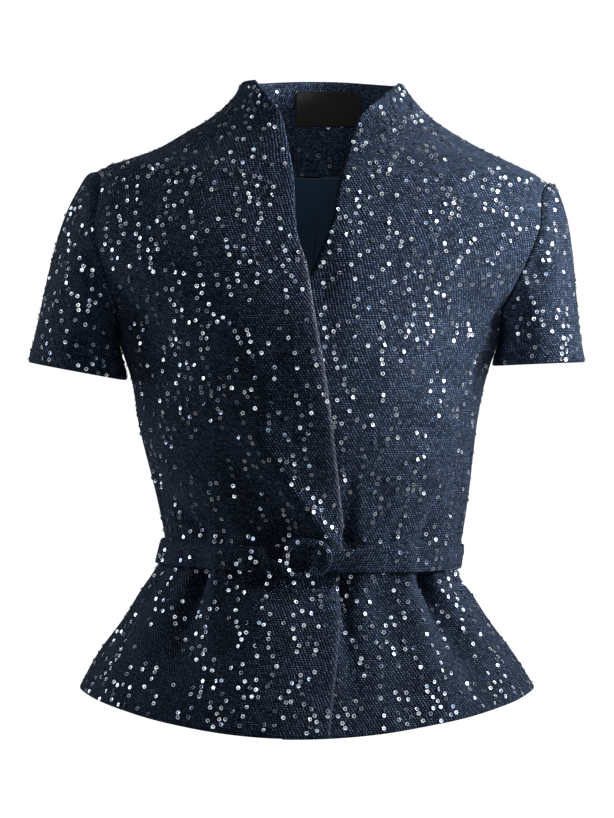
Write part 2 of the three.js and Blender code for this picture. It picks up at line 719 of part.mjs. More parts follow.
const jacket = new THREE.Group();
jacket.name = "short_sleeve_jacket";
jacket.add(...fronts(), back(), ...SLEEVES.map(sleeve), ...peplum());
jacket.add(belt(), buckle(), neckFacing(), backLining(), neckLabel());

export default jacket;
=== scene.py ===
"""Short-sleeve wrap jacket in sequinned hopsack tweed, with a covered belt and a flared peplum.

Sizes in the tables are millimetres, as in the solids: Z is up, +X is the wearer's left and the
front faces -Y. Angles run from the centre front towards the wearer's left.
"""
import math

import bmesh
import bpy
import numpy as np
from bpy.props import FloatProperty, FloatVectorProperty, IntProperty, PointerProperty
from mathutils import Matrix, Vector


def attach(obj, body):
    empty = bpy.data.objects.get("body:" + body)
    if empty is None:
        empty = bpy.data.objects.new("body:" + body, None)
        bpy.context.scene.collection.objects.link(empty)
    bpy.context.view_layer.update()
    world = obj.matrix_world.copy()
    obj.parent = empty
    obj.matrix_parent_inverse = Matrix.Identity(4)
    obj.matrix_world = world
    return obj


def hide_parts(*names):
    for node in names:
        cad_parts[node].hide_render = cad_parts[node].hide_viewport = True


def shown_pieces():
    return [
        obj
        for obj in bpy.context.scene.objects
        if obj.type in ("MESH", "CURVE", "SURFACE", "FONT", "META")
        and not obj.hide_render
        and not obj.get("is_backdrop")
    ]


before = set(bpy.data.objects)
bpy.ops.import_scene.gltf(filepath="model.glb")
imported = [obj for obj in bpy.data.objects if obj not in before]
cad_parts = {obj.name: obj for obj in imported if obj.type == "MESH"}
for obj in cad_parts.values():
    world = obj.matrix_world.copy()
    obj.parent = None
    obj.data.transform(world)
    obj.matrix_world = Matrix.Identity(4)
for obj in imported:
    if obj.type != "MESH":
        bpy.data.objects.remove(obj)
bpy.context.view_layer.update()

bl_info = {
    "name": "Short-sleeve wrap jacket",
    "version": (1, 0, 0),
    "blender": (4, 5, 0),
    "location": "3D View > Sidebar > Jacket",
    "description": "A belted short-sleeve jacket in sequinned hopsack tweed",
    "category": "Object",
}

MM = 0.001
SQUARE_CM = 100.0
BODY_NAME = "root"

# Too small to divide by, and further off than any sequin
TINY = 1e-6
FAR_AWAY = 1e4

# Cloth thicknesses and the room between layers
CLOTH = 2.0
FACING = 1.2
FACING_GAP = 0.4
LINING = 1.0
LABEL = 0.8
SEAM_GAP = 0.04
LAYER_GAP = 1.3

# The lap: the room in it, how far past its edge the under front comes up, how high the over front
# stands off and over what angles, and between what levels its edge is free
LAP_GAP = 1.7
LAP_PAST = math.radians(1.5)
LAP_EASE = math.radians(11)
LAP_RISE = 3.0
LAP_BEFORE = math.radians(16)
LAP_BEYOND = math.radians(12)
LAP_TOP = (-175.0, -135.0)
LAP_ABOVE_BELT = (14.0, 34.0)
LAP_BELOW_BELT = (0.14, 0.34)

# Levels of the body, at the centre front, and the armholes
COLLAR_TOP = 40.0
SHOULDER_TIP = -40.0
UNDERARM = -166.0
WAIST = -359.5
ARMHOLE_MIDDLE = (SHOULDER_TIP + UNDERARM) / 2
ARMHOLE_HALF = (SHOULDER_TIP - UNDERARM) / 2
ARMHOLE_FRONT = math.radians(31)
ARMHOLE_BACK = math.radians(33)
ARM_FULLNESS = 0.18
HEM_SIDE = -473.0
HEM_DIP = 28.0
FALL = WAIST - HEM_SIDE
SIDE = math.radians(90)
FRONT_GRAIN = math.radians(14)
CLOTH_RADIUS = 135.0
SEAM_TURN = SEAM_GAP / 2 / CLOTH_RADIUS
EDGE_REACH = 0.96

# A turned edge: how much thicker the cloth is there, and over what width
TURNED_EXTRA = 1.4
TURNED_FROM = 5.0
TURNED_TO = 15.0

# The lighter line along the lap's edge, a painted highlight where the rolled edge would catch
# the light: its width, where it begins below the V, and its share on the peplum
LAP_HIGHLIGHT_WIDTH = (1.6, 3.6)
LAP_HIGHLIGHT_TOP = (-118.0, -92.0)
PEPLUM_LAP_HIGHLIGHT = 0.5

# Belt and buckle
BELT_TAIL = math.radians(-34)
BELT_END = math.radians(351)
BELT_LIFT_FROM = math.radians(290)
BELT_LIFT_FULL = math.radians(322)
BELT_TAIL_TAPER = math.radians(7)
BELT_TAIL_POINT = 0.35
BELT_PINCH_TAPER = math.radians(9)
BELT_PINCH = 0.6
BELT_PINCHED = math.radians(2)
BELT_LENGTH = 760.0
BELT_SQUARE = (0.45, 0.6)
BELT_RIB = 0.12
BELT_RIB_GAP = 2.0
BELT_CLOTH = 2.2
BELT_GAP = 1.4
BUCKLE_DEPTH = 4.4
BUCKLE_GAP = 1.6
BUCKLE_X = -0.8
BUCKLE_RISE = 1.4
BELT_WALL = 0.9
BELT_SHOW = 2.8
BELT_SHOWN = (-10, -5, 3, 7)
BELT_HOLLOW = 1.3
BELT_HOLLOW_X = 10.5
BELT_HOLLOW_WIDTH = 3.5
BELT_ROLL = 32
STRAP_FROM = -13

# The strap's crumple: a crest, steep above, and a second fold. Where they lie from the waist's
# middle, how they lean, how wide and high they are, and where in X they begin and end
CREST_X, CREST_Z = -25.2, 2.0
CREST_SLOPE = (0.62, 0.78)
CREST_WIDTHS = (6, 1.3)
CREST_RISE = 3.1
CREST_SPAN = (-37, -30, -21, -17)
SECOND_X, SECOND_Z = -28.0, 6.0
SECOND_LEAN = 0.35
SECOND_WIDTH = 1.8
SECOND_RISE = 1.1
SECOND_SPAN = (-46, -34, -24, -18)

# The buckle's section and outline, and waves round its ring, each with its number, phase and
# size: outline, rim, thickness and warp. The gathers lie on the inner rim.
BUCKLE_FLAT, BUCKLE_CROWN, BUCKLE_CORNER = 0.75, 0.85, 2.6
BUCKLE_STEPS = (25, 161)
BUCKLE_UNEVEN = ((2, 0.8, 0.8), (3, 2.2, 0.7))
BUCKLE_WIDTHS = ((1, 0.9, 0.16), (4, 0, 0.1))
BUCKLE_THICKNESSES = ((5, 1, 0.1),)
BUCKLE_WARP = ((2, 0.5 + math.pi / 2, 0.3),)
GATHERS = 23
GATHER_DEPTH = 0.35
GATHER_SHARE = 0.6
GATHER_SWAY = ((3, 0, 1.7),)
GATHER_ROLL = (0.3, -1)

# Neck facing, lining and label
FACING_TOP = 39.0
FACING_EDGE = -33.5
FACING_HALF = 86.0
FACING_TURN = math.radians(84)
FACING_WIDTH = 200.0
PLEAT_RISE = 2.4
PLEAT_SPREAD = math.radians(12)
PLEAT_COLUMNS = (-8, -4, -2, -1, -0.3, 0, 0.15, 0.35, 0.7, 1.3, 2.4, 4, 6, 8, 10, 12)
RIPPLE_ROUND = (19, 0.02)
RIPPLE_DOWN = (0.035, 1)
RIPPLE_DEPTH = 0.5
LINING_STEP = 4.5
LINING_HALF = 190.0
LINING_FOOT = -353.5
LINING_MARGIN = math.radians(5)
LINING_EASE = 3.5
LINING_FREE = -300.0
LINING_HELD = -240.0
LABEL_X = 19.0
LABEL_Z = 20.8
LABEL_CORNER = 2.2
LABEL_STEP = 1.2

# Sequins: spacing along a string and between strings, how they tilt and stand off the cloth, how
# many lie on a string and how it wanders
SEQUIN_GAP = 3.5
SEQUIN_MARGIN = 2.6
SEQUIN_TILT = 0.21
SEQUIN_LIFT = 0.45
SEQUIN_SIDES = 10
STRING_TRIES = 6
STRING_LEAN = 0.35
STRING_HOLD = 0.7
STRING_TURN = 0.28
STRING_GAP = (3.5, 8.0)
STRING_PACE = (3.6, 10.0)
STRING_LENGTHS = (1, 1, 1, 1, 2, 2, 2, 3, 3, 4, 6)
BELT_DENSITY = 0.6

# The weave: how far each row steps sideways, in threads, the noise in its lines and in its
# shade, how its thread ends round off across and down, and how they differ in height
ROW_STEP = 0.36
STRAY_NOISE = (0.2, 2.0)
SLUB_NOISE = (0.045, 3.0)
STRAY = 0.5
THREAD_ROUND = (1.15, 0.75)
THREAD_HEIGHT = (0.55, 0.45)

# Finish of the tweed, the lining, the label and the sequins: shade, roughness as a slope and a
# start, and relief as its strength and its depth in mm. The gap colour is painted shade between the
# thread ends, and the lap's edge and the sequins' rims carry painted highlights.
THREAD_SHADE = -0.02
SLUB_SHADE = 0.9
# Painted shade between the thread ends: how the colour falls to the gap colour as the thread ends get
# lower
GAP_SHADE = 0.9
# Share of the painted highlight along the lap's edge
LAP_HIGHLIGHT_SHARE = 0.7
TWEED_ROUGH = (-0.3, 0.8)
TWEED_RELIEF = (1.0, 0.9)
TWEED_SPECULAR = (0.5, 0.7, 1.0, 1)
TWEED_SHEEN = (0.45, 0.62, 1.0, 1)
SATIN_STRETCH = (2.2, 0.35, 1)
SATIN_SHADE = (0.8, 1.2)
SATIN_ROUGH = (0.15, 0.28)
SATIN_RELIEF = (0.25, 0.15)
LABEL_SHADE = (0.75, 1.25)
LABEL_RELIEF = (0.3, 0.1)
SEQUIN_RIM = (0.45, 0.8)
# Painted highlight on the sequins: colour share at the marked rim and across the rest
SEQUIN_RIM_HIGHLIGHT = (0.6, 0.4)
SEQUIN_ROUGH = (0.14, 0.14)
SEQUIN_RIM_ROUGH = 0.2

# Where folds fade out towards the waist seam
BODY_FOLD_FADE = 16.0
PEPLUM_FOLD_FADE = 0.12

# Small steps either side of a point that give a surface's slope
SLOPE_TURN = 0.002
SLOPE_HEIGHT = 0.2
SLOPE_DROP = 0.002
TURN_STEP = 0.01

# Mesh steps along the cloth, and at its rolled edges. The knee is where a front that passes under
# comes out of the lap: its least share of the width and its share of the columns.
STEP = 3.2
FINE_STEP = 2.4
FEWEST_STEPS = 4
GRAIN_STEPS = 25
ARMHOLE_STEPS = 64
ROLLED = (0.0, 0.3, 0.8, 1.6, 2.6)
ROLL_CLEAR = 1.3
ROLL_DRAW = 0.9
KNEE_LEAST = 0.12
KNEE_STEPS = 0.2

# Widths of the panels, which only set how many columns they have
RIGHT_WIDTH = 190.0
LEFT_WIDTH = 200.0
BACK_WIDTH = 400.0
PEPLUM_WIDTH = 290.0
PEPLUM_BACK_WIDTH = 480.0

# Stage: the camera sees the floor and the air white, whatever light they give
FLOOR_RADIUS = 14.0
FLOOR_Z = -1.32
FLOOR_GREY = 0.45
FLOOR_GLOW = 1.1
AIR_SEEN = 1.03
AIR_LIGHT = 0.07
CAMERA_DISTANCE = 2.6
CAMERA_HEIGHT = -0.2
PHOTO_SIZE = (614, 818)
PHOTO_SCALE = 0.85 * MM
PHOTO_AXIS_ROW = 365.3
SENSOR = 36.0


def table(columns, *rows):
    """A table with named columns, each one an array."""
    return {name: np.array(values, float) for name, values in zip(columns, zip(*rows))}


# Sections of the body: height at the centre front, tilt of the left side over the right, rise of
# the back over the front, reach to the wearer's right and left, depth in front and behind
BODY = table(
    ("height", "tilt", "rise", "right", "left", "front", "back"),
    (40, -2, 6.5, 55, 81, 50, 60),
    (26, 0, 3.5, 64, 90, 52, 62),
    (10, 0, 1, 82, 105, 57, 66),
    (-3, 0, 0, 104, 124, 62, 71),
    (-17, 0, 0, 129, 149, 69, 77),
    (-28, -4, 0, 155, 177, 74, 82),
    (-40, -10, 0, 178, 204, 79, 88),
    (-102, -5, 0, 175, 188, 106, 110),
    (-166, -3, 0, 164, 167, 123, 111),
    (-213, 0, 0, 149.5, 151, 126, 106),
    (-248, 0, 0, 143.5, 144.5, 120, 100),
    (-302, -2, 0, 130, 138.5, 105, 91),
    (-343, -4, 0, 121.5, 132, 95, 88),
    (-360, -5, 0, 120, 127, 92, 87),
)

# Sections of the peplum, from the waist seam (0) to the hem (1)
PEPLUM = table(
    ("drop", "right", "left", "front", "back"),
    (0, 120, 127, 92, 87),
    (0.15, 130, 129, 95, 92),
    (0.3, 142, 141, 102, 100),
    (0.5, 156.5, 156, 112, 111),
    (0.75, 178, 177.5, 124, 124),
    (1, 194, 194, 135, 136),
)

# Free edge of the wearer's right front, which laps over
OVER_EDGE = table(
    ("height", "x"),
    (40, -45),
    (14.5, -24),
    (-4.5, -18),
    (-44, -10.8),
    (-66, -8.3),
    (-91, -5.6),
    (-117, 0.6),
    (-155, 6),
    (-204, 14.5),
    (-269, 23),
    (-347, 29.5),
    (-408, 27),
    (-439, 24.5),
    (-502, 18),
)

# Free edge of the wearer's left front, which passes under at the foot of the V
UNDER_EDGE = table(
    ("height", "x"),
    (40, 78.5),
    (26, 64),
    (9, 45),
    (-16, 35.5),
    (-49, 26),
    (-81, 18.5),
    (-99, 12.2),
    (-120, 4.5),
    (-133, -1),
    (-175, -9),
    (-250, -17),
    (-360, -18),
    (-502, -20),
)

FOLD_COLUMNS = (
    "from_angle", "from_place", "to_angle", "to_place", "from_depth", "to_depth", "from_width",
    "to_width",
)

# Folds of the body, from one end to the other: angles in degrees, levels in mm, depth inward
# (below 0 a ridge) and half-width in mm. The first nine are in the solids too.
BODY_FOLDS = table(
    FOLD_COLUMNS,
    (-74, -296, -38, -345, 6, 6, 13, 13),
    (-15, -258, 4, -345, -4, -4, 17, 17),
    (-27, -285, -14, -345, 3.5, 3.5, 15, 15),
    (58, -112, 44, -200, 4, 4, 22, 22),
    (-57, -118, -45, -190, 2.5, 2.5, 22, 22),
    (66, -300, 44, -345, 3.5, 3.5, 15, 15),
    (118, -300, 140, -345, 5, 5, 15, 15),
    (242, -290, 216, -345, 5.5, 5.5, 15, 15),
    (172, -262, 178, -345, 3.5, 3.5, 18, 18),
    (-62, -336, -14, -337, 2.4, 3.9, 8, 9),
    (-64, -316, -24, -310, -2.1, -3.3, 10, 13),
    (-17, -262, 3, -345, -2.0, -4.8, 13, 12),
    (-66, -316, -47, -343, 2.4, 4.5, 5, 6),
    (-52, -322, -41, -343, -1.2, -2.4, 4, 5),
    (-83, -270, -77, -335, 2.1, 3.3, 7, 6),
    (-8, -300, 6, -341, -2.0, -3.2, 7, 5),
    (-20, -312, -6, -340, 1.5, 3.3, 5, 5),
    (14, -285, 12.2, -341, 1.5, 5.6, 6, 4.5),
    (35, -318, 30, -342, 0.9, 2.2, 7, 5),
    (52, -310, 47, -342, 1.8, 3, 6, 5),
    (80, -285, 73, -338, 2.4, 3.3, 8, 6),
    (70, -150, 50, -172, 3.3, 0.9, 10, 13),
    (76, -160, 60, -215, 2.4, 0.8, 10, 14),
    (-71, -152, -50, -178, 2.7, 0.8, 10, 13),
    (-78, -162, -64, -222, 2.2, 0.8, 10, 14),
    (12, -200, 26, -330, 0.8, 2.1, 16, 14),
    (98, -290, 104, -340, 1.8, 3.3, 8, 7),
    (128, -312, 133, -342, 1.5, 3.3, 6, 6),
    (158, -300, 162, -341, 1.8, 3, 8, 6),
    (196, -305, 190, -341, 1.4, 3.2, 7, 6),
    (228, -315, 224, -342, -1.2, -2.7, 6, 6),
    (262, -285, 258, -338, 2.1, 3.3, 8, 6),
    (150, -130, 168, -190, 2.7, 0.9, 16, 22),
    (212, -124, 196, -186, 2.2, 0.9, 16, 22),
)

# Folds of the peplum in the same way, from the belt towards the hem. The first twelve are in the
# solids too.
PEPLUM_FOLDS = table(
    FOLD_COLUMNS,
    (-45, 0.08, -40, 0.5, 7, 7, 10, 18),
    (-70, 0.12, -76, 0.7, 3.5, 3.5, 12, 24),
    (-14, 0.3, -17, 1.1, -4, -4, 20, 34),
    (27, 0.25, 29, 1.1, 3.5, 3.5, 14, 24),
    (51, 0.06, 53, 0.72, 10, 10, 9, 22),
    (76, 0.15, 81, 0.7, 3.5, 3.5, 12, 24),
    (108, 0.1, 106, 0.95, 5, 5, 12, 24),
    (137, 0.06, 133, 0.85, 9, 9, 10, 24),
    (168, 0.1, 166, 1, 5, 5, 12, 26),
    (197, 0.06, 201, 0.8, 8, 8, 10, 22),
    (229, 0.1, 233, 0.95, 6, 6, 12, 26),
    (257, 0.15, 254, 0.9, 4, 4, 12, 22),
    (-45, 0.1, -43, 0.4, 7, 1.7, 4, 10),
    (-36, 0.1, -30, 0.8, -3.4, -1.4, 8, 16),
    (-4, 0.1, -6, 1, -2.5, -1.7, 7, 16),
    (14, 0.1, 15, 0.9, 2.8, 1.7, 8, 15),
    (12.8, 0.08, 12.2, 0.75, 5.2, 2.2, 5, 6),
    (39, 0.1, 36, 0.9, -3.6, -1.7, 8, 16),
    (-55, 0.1, -58, 0.3, 2.5, 0.6, 5, 9),
    (-31, 0.1, -27, 0.28, -2.2, -0.6, 5, 10),
    (-6, 0.1, -3, 0.3, 2.2, 0.6, 6, 12),
    (-19, 0.12, 7, 0.14, 4.5, 4.0, 7, 7),
    (-26, 0.3, -2, 0.34, -2.0, -2.5, 12, 12),
    (53.5, 0.1, 52.5, 0.6, 12, 5, 5, 11),
    (42, 0.1, 38, 0.3, -2.2, -0.6, 5, 10),
    (63, 0.1, 67, 0.34, -2.5, -0.7, 5, 10),
    (94, 0.1, 96, 0.4, 2.5, 0.7, 6, 12),
    (137, 0.1, 138, 0.4, 4.2, 0.8, 4, 9),
    (152, 0.1, 150, 0.35, -2.2, -0.7, 6, 12),
    (197, 0.1, 196, 0.38, 4.2, 0.8, 4, 9),
    (214, 0.1, 217, 0.34, -2.1, -0.7, 6, 12),
    (243, 0.1, 245, 0.4, 2.5, 0.7, 6, 12),
)

# Soft waves that keep the cloth from lying quite smooth: turns round the body, waves per mm of
# height, phase and depth in mm
WAVES = ((7, 0.031, 0.4, 0.30), (11, -0.047, 2.1, 0.22), (17, 0.066, 4.4, 0.14))

# Sleeves: side is the sign of X, outer and inner the hem's two ends, lean the slope at the hem,
# the reaches say how long each end of the sleeve keeps its slope
SLEEVES = {
    "sleeve_right": {
        "side": -1, "lean": math.radians(16), "head_reach": 118, "hem_reach": 160,
        "outer": (237, -197), "inner": (152.8, -212.5),
    },
    "sleeve_left": {
        "side": 1, "lean": math.radians(14), "head_reach": 92, "hem_reach": 150,
        "outer": (236.5, -197), "inner": (157.5, -200.5),
    },
}
SLEEVE_LENGTH = 165.0
SLEEVE_DEPTH = 60.0
SLEEVE_FULL = 0.6
SLEEVE_HEAD_SLOPE = math.radians(26)
SLEEVE_FOOT_SLOPE = math.radians(72)

# The eased head's swell, and where it and the creases fade out
SLEEVE_HEAD_RISE = 2.2
SLEEVE_HEAD_PLACE = 0.07
SLEEVE_HEAD_WIDTH = 0.07
SLEEVE_HEAD_TOP = (-0.2, 1)
SLEEVE_SEAM = 0.05
SLEEVE_FOLD_FADE = 0.12
SLEEVE_HEM_FROM = 0.8
SLEEVE_HEM_LOSS = 0.6

# Creases of the sleeves: turn in degrees from the shoulder towards the front, place from the
# armhole (0) to the hem (1)
SLEEVE_FOLDS = table(
    FOLD_COLUMNS,
    (95, 0.15, 60, 0.75, 3.0, 1.0, 9, 15),
    (125, 0.1, 110, 0.8, 2.6, 1.2, 8, 12),
    (40, 0.25, 28, 0.8, 1.2, 0.6, 12, 16),
    (255, 0.15, 290, 0.7, 2.6, 1.0, 9, 15),
    (230, 0.1, 245, 0.8, 2.2, 1.0, 8, 12),
    (330, 0.3, 345, 0.85, 1.0, 0.6, 12, 16),
)
SLEEVE_FOLD_RADIUS = 55.0
SLEEVE_FOLD_LENGTH = 150.0

# Sequins on the buckle: place round the ring from the wearer's left, and round its rim
BUCKLE_SEQUINS = table(
    ("turn", "roll"),
    (166, 104),
    (180, 112),
    (194, 104),
    (112, 82),
    (52, 62),
    (24, 72),
    (-84, 82),
    (218, 120),
    (232, 100),
    (146, 60),
)


def smoothstep(low, high, value):
    t = np.clip((value - low) / (high - low), 0, 1)
    return t * t * (3 - 2 * t)


def plateau(value, start, full, fading, gone):
    """1 between full and fading, and 0 before start and after gone."""
    return smoothstep(start, full, value) * (1 - smoothstep(fading, gone, value))


def blend(start, end, share):
    return start + (end - start) * share


def ripple(turn, rows):
    """A sum of waves, each with its number round the turn, its phase and its size."""
    return sum(size * np.sin(number * turn + phase) for number, phase, size in rows)


def squared(value, power):
    """A sine or cosine drawn towards its ends, which makes a round section squarer."""
    return np.sign(value) * abs(value) ** power


def unit(vectors):
    return vectors / np.maximum(np.linalg.norm(vectors, axis=-1, keepdims=True), TINY)


def hermite(t, start, leave, end, arrive):
    """A smooth way from start to end, which leaves and arrives as the slopes say."""
    t2, t3 = t * t, t * t * t
    return (
        (2 * t3 - 3 * t2 + 1) * start + (t3 - 2 * t2 + t) * leave
        + (3 * t2 - 2 * t3) * end + (t3 - t2) * arrive
    )


def curve(rows, column, at):
    """A column of a table as a smooth curve over its first column."""
    keys, values = next(iter(rows.values())), rows[column]
    at = np.asarray(at, float)
    sign = 1 if keys[-1] > keys[0] else -1
    i = np.clip(np.searchsorted(sign * keys, sign * at) - 1, 0, len(keys) - 2)
    before = np.maximum(np.arange(len(keys)) - 1, 0)
    after = np.minimum(np.arange(len(keys)) + 1, len(keys) - 1)
    slopes = (values[after] - values[before]) / (keys[after] - keys[before])
    span = keys[i + 1] - keys[i]
    t = np.clip((at - keys[i]) / span, 0, 1)
    return hermite(t, values[i], span * slopes[i], values[i + 1], span * slopes[i + 1])


def ring_at(rows, at):
    """A section from a table: its reach to each side, its depths and what else it has."""
    return {name: curve(rows, name, at) for name in list(rows)[1:]}


def middle_and_half(ring):
    """The middle of a section and half its width."""
    return (ring["left"] - ring["right"]) / 2, (ring["left"] + ring["right"]) / 2


def section_point(ring, angle, height, inward=0.0):
    centre, half = middle_and_half(ring)
    depth = np.where(np.cos(angle) > 0, ring["front"], ring["back"])
    x, y, z = np.broadcast_arrays(
        centre + (half - inward) * np.sin(angle), -(depth - inward) * np.cos(angle), height)
    return np.stack([x, y, z], -1)


def body_ring(height):
    return ring_at(BODY, height)


def armhole_place(height):
    return (height - ARMHOLE_MIDDLE) / ARMHOLE_HALF


def armhole_height(turn):
    return ARMHOLE_MIDDLE + ARMHOLE_HALF * np.cos(turn)


def armhole_cut(height, widest):
    return widest * np.sqrt(np.maximum(1 - armhole_place(height) ** 2, 0))


def fold_sum(folds, angle, place, scale, radius):
    """Depth of all the folds at each point. scale turns places down the cloth into mm."""
    total = np.zeros(np.broadcast(angle, place).shape)
    for values in zip(*folds.values()):
        fold = dict(zip(folds, values))
        start = math.radians(fold["from_angle"])
        turn = angle + 2 * np.pi * np.round((start - angle) / (2 * np.pi)) - start
        across, along = turn * radius, (place - fold["from_place"]) * scale
        end_across = (math.radians(fold["to_angle"]) - start) * radius
        end_along = (fold["to_place"] - fold["from_place"]) * scale
        length2 = end_across ** 2 + end_along ** 2
        share = np.clip((across * end_across + along * end_along) / length2, 0, 1)
        distance = np.hypot(across - share * end_across, along - share * end_along)
        width = blend(fold["from_width"], fold["to_width"], share)
        depth = blend(fold["from_depth"], fold["to_depth"], share)
        total = total + depth * np.exp(-((distance / width) ** 2))
    return total


def waves(angle, level):
    return sum(
        depth * np.sin(turns * angle + pitch * level + phase)
        for turns, pitch, phase, depth in WAVES
    )


def body_folds(angle, height):
    depth = fold_sum(BODY_FOLDS, angle, height, -1, CLOTH_RADIUS) + waves(angle, height)
    return depth * smoothstep(WAIST, WAIST + BODY_FOLD_FADE, height)


def peplum_folds(angle, drop):
    depth = fold_sum(PEPLUM_FOLDS, angle, drop, FALL, CLOTH_RADIUS)
    depth = depth + waves(angle, WAIST - drop * FALL)
    return depth * smoothstep(0, PEPLUM_FOLD_FADE, drop)


def body_point(angle, height):
    """Outer face of the body's cloth."""
    ring = body_ring(height)
    place = np.clip(armhole_place(height), -1, 1)
    centre, half = middle_and_half(ring)
    half = half * (1 + ARM_FULLNESS * (1 - place * place) ** 2)
    full = {**ring, "left": half + centre, "right": half - centre}
    rise = ring["rise"] * np.maximum(-np.cos(angle), 0) ** 2
    level = height + ring["tilt"] * np.sin(angle) / 2 + rise
    return section_point(full, angle, level, body_folds(angle, height))


def peplum_point(angle, drop):
    """Outer face of the peplum's cloth."""
    waist_tilt = body_ring(WAIST)["tilt"] * np.sin(angle) / 2
    hem = HEM_SIDE - HEM_DIP * np.cos(angle) ** 2
    level = WAIST + waist_tilt + drop * (hem - WAIST - waist_tilt)
    return section_point(ring_at(PEPLUM, drop), angle, level, peplum_folds(angle, drop))


def slope_step(surface):
    return SLOPE_HEIGHT if surface is body_point else -SLOPE_DROP


def outward(surface, angle, place):
    """The way out of the cloth, from small steps across it and up it."""
    step = slope_step(surface)
    across = surface(angle + SLOPE_TURN, place) - surface(angle - SLOPE_TURN, place)
    up = surface(angle, place + step) - surface(angle, place - step)
    return unit(np.cross(across, up))


def edge_angle(edge, height, ring):
    centre, half = middle_and_half(ring)
    x = curve(edge, "x", height)
    return np.arcsin(np.clip((x - centre) / half, -EDGE_REACH, EDGE_REACH))


def body_edge(edge, height):
    return edge_angle(edge, height, body_ring(height))


def peplum_edge(edge, drop):
    height = WAIST + drop * (HEM_SIDE - HEM_DIP - WAIST)
    return edge_angle(edge, height, ring_at(PEPLUM, drop))


def lap_freedom(level, body):
    """Where the wrap's edge stands free, 1, and where the belt holds it or the V begins, 0."""
    if not body:
        return smoothstep(*LAP_BELOW_BELT, level)
    return plateau(level, *(WAIST + rise for rise in LAP_ABOVE_BELT), *LAP_TOP)


def over_rise(beyond, level, body):
    """How far the over front's edge lifts off, at an angle beyond its edge."""
    return LAP_RISE * smoothstep(-LAP_BEFORE, 0, beyond) * lap_freedom(level, body)


def under_sink(beyond, level, body):
    """How far the under front sinks below the over front's cloth."""
    held = 1 - smoothstep(LAP_PAST, LAP_EASE, beyond)
    free = 1 - smoothstep(-LAP_BEFORE, LAP_BEYOND, beyond)
    return (CLOTH + LAP_GAP) * (held + (free - held) * lap_freedom(level, body))


def shares(length, step=STEP):
    """Shares from 0 to 1 about a step apart, closer at both ends, where the edge rolls."""
    ends = np.array(ROLLED) / length
    inner = np.linspace(0, 1, max(round(length / step), FEWEST_STEPS) + 1)
    inner = inner[(inner > ends[-1] * ROLL_CLEAR) & (inner < 1 - ends[-1] * ROLL_CLEAR)]
    return np.concatenate([ends, inner, 1 - ends[::-1]])


def run_lengths(points, axis):
    """Lengths along the rows (axis 1) or down the columns (axis 0), from the first point."""
    steps = np.linalg.norm(np.diff(points, axis=axis), axis=-1)
    zero = np.zeros_like(np.take(steps, [0], axis=axis))
    return np.concatenate([zero, np.cumsum(steps, axis=axis)], axis=axis)


def inset(distance, radius, reach):
    """How far a rolled edge has drawn in from the cloth's face, over its reach."""
    near = 1 - np.clip(distance / reach, 0, 1)
    return ROLL_DRAW * radius * (1 - np.sqrt(np.maximum(1 - near * near, 0)))


def cloth_wall(points, normals, thickness, sink=0.0, turned=(), plain=()):
    """Outer and inner faces of a panel, rolled in at its edges and thicker at turned ones."""
    across, down = run_lengths(points, 1), run_lengths(points, 0)
    distance = {
        "left": across, "right": across[:, -1:] - across, "top": down, "bottom": down[-1:] - down,
    }
    extra = np.zeros(points.shape[:2])
    for edge in turned:
        fold = TURNED_EXTRA * (1 - smoothstep(TURNED_FROM, TURNED_TO, distance[edge]))
        extra = np.maximum(extra, fold)
    nearest = np.min([d for name, d in distance.items() if name not in plain], axis=0)
    wall = thickness + extra
    drawn = inset(nearest, wall / 2, wall / 2 + extra)
    outer = points - normals * (sink + drawn)[..., None]
    inner = points - normals * (sink + np.maximum(wall - drawn, drawn))[..., None]
    return outer, inner


def grain(surface, middle, angles, places):
    """How far each point lies across and down the cloth, in mm, from the panel's grain line."""
    step = slope_step(surface)
    lead = blend(middle, angles[:, :1], np.linspace(0, 1, GRAIN_STEPS))
    to_edge = run_lengths(surface(lead, places[:, :1] + 0 * lead), 1)[:, -1:]
    across = np.sign(angles[:, :1] - middle) * to_edge
    across = across + run_lengths(surface(angles, places), 1)
    move = np.diff(surface(angles, places), axis=0)
    threads = []
    for turn, rise in ((0, step), (SLOPE_TURN, 0)):
        run = surface(angles + turn, places + rise) - surface(angles - turn, places - rise)
        threads.append(unit(run[1:] + run[:-1]))
    upright, level_run = threads
    lean = (upright * level_run).sum(-1)
    falls = (move * upright).sum(-1) - (move * level_run).sum(-1) * lean
    falls = -falls / (1 - lean ** 2)
    down = np.concatenate([0 * across[:1], np.cumsum(falls, axis=0)])
    level = np.argmin(np.abs(places[:, 0] - UNDERARM)) if surface is body_point else 0
    return across, down - down[level:level + 1] + down[level].mean()


def show(name, data):
    """An object with this data, in the scene."""
    made = bpy.data.objects.new(name, data)
    bpy.context.scene.collection.objects.link(made)
    return made


def mesh_piece(name, points, faces, cloth_uv, material):
    """A mesh object from points in mm, its faces and a cloth map in mm for each corner."""
    mesh = bpy.data.meshes.new(name)
    mesh.from_pydata((np.asarray(points) * MM).tolist(), [], np.asarray(faces).tolist())
    layer = mesh.uv_layers.new(name="cloth")
    layer.data.foreach_set("uv", (np.asarray(cloth_uv, np.float32) * MM).ravel())
    mesh.materials.append(material)
    mesh.shade_smooth()
    mesh.validate()
    return show(name, mesh)


def quads(a, b, c, d):
    return np.stack([a, b, c, d], -1).reshape(-1, 4)


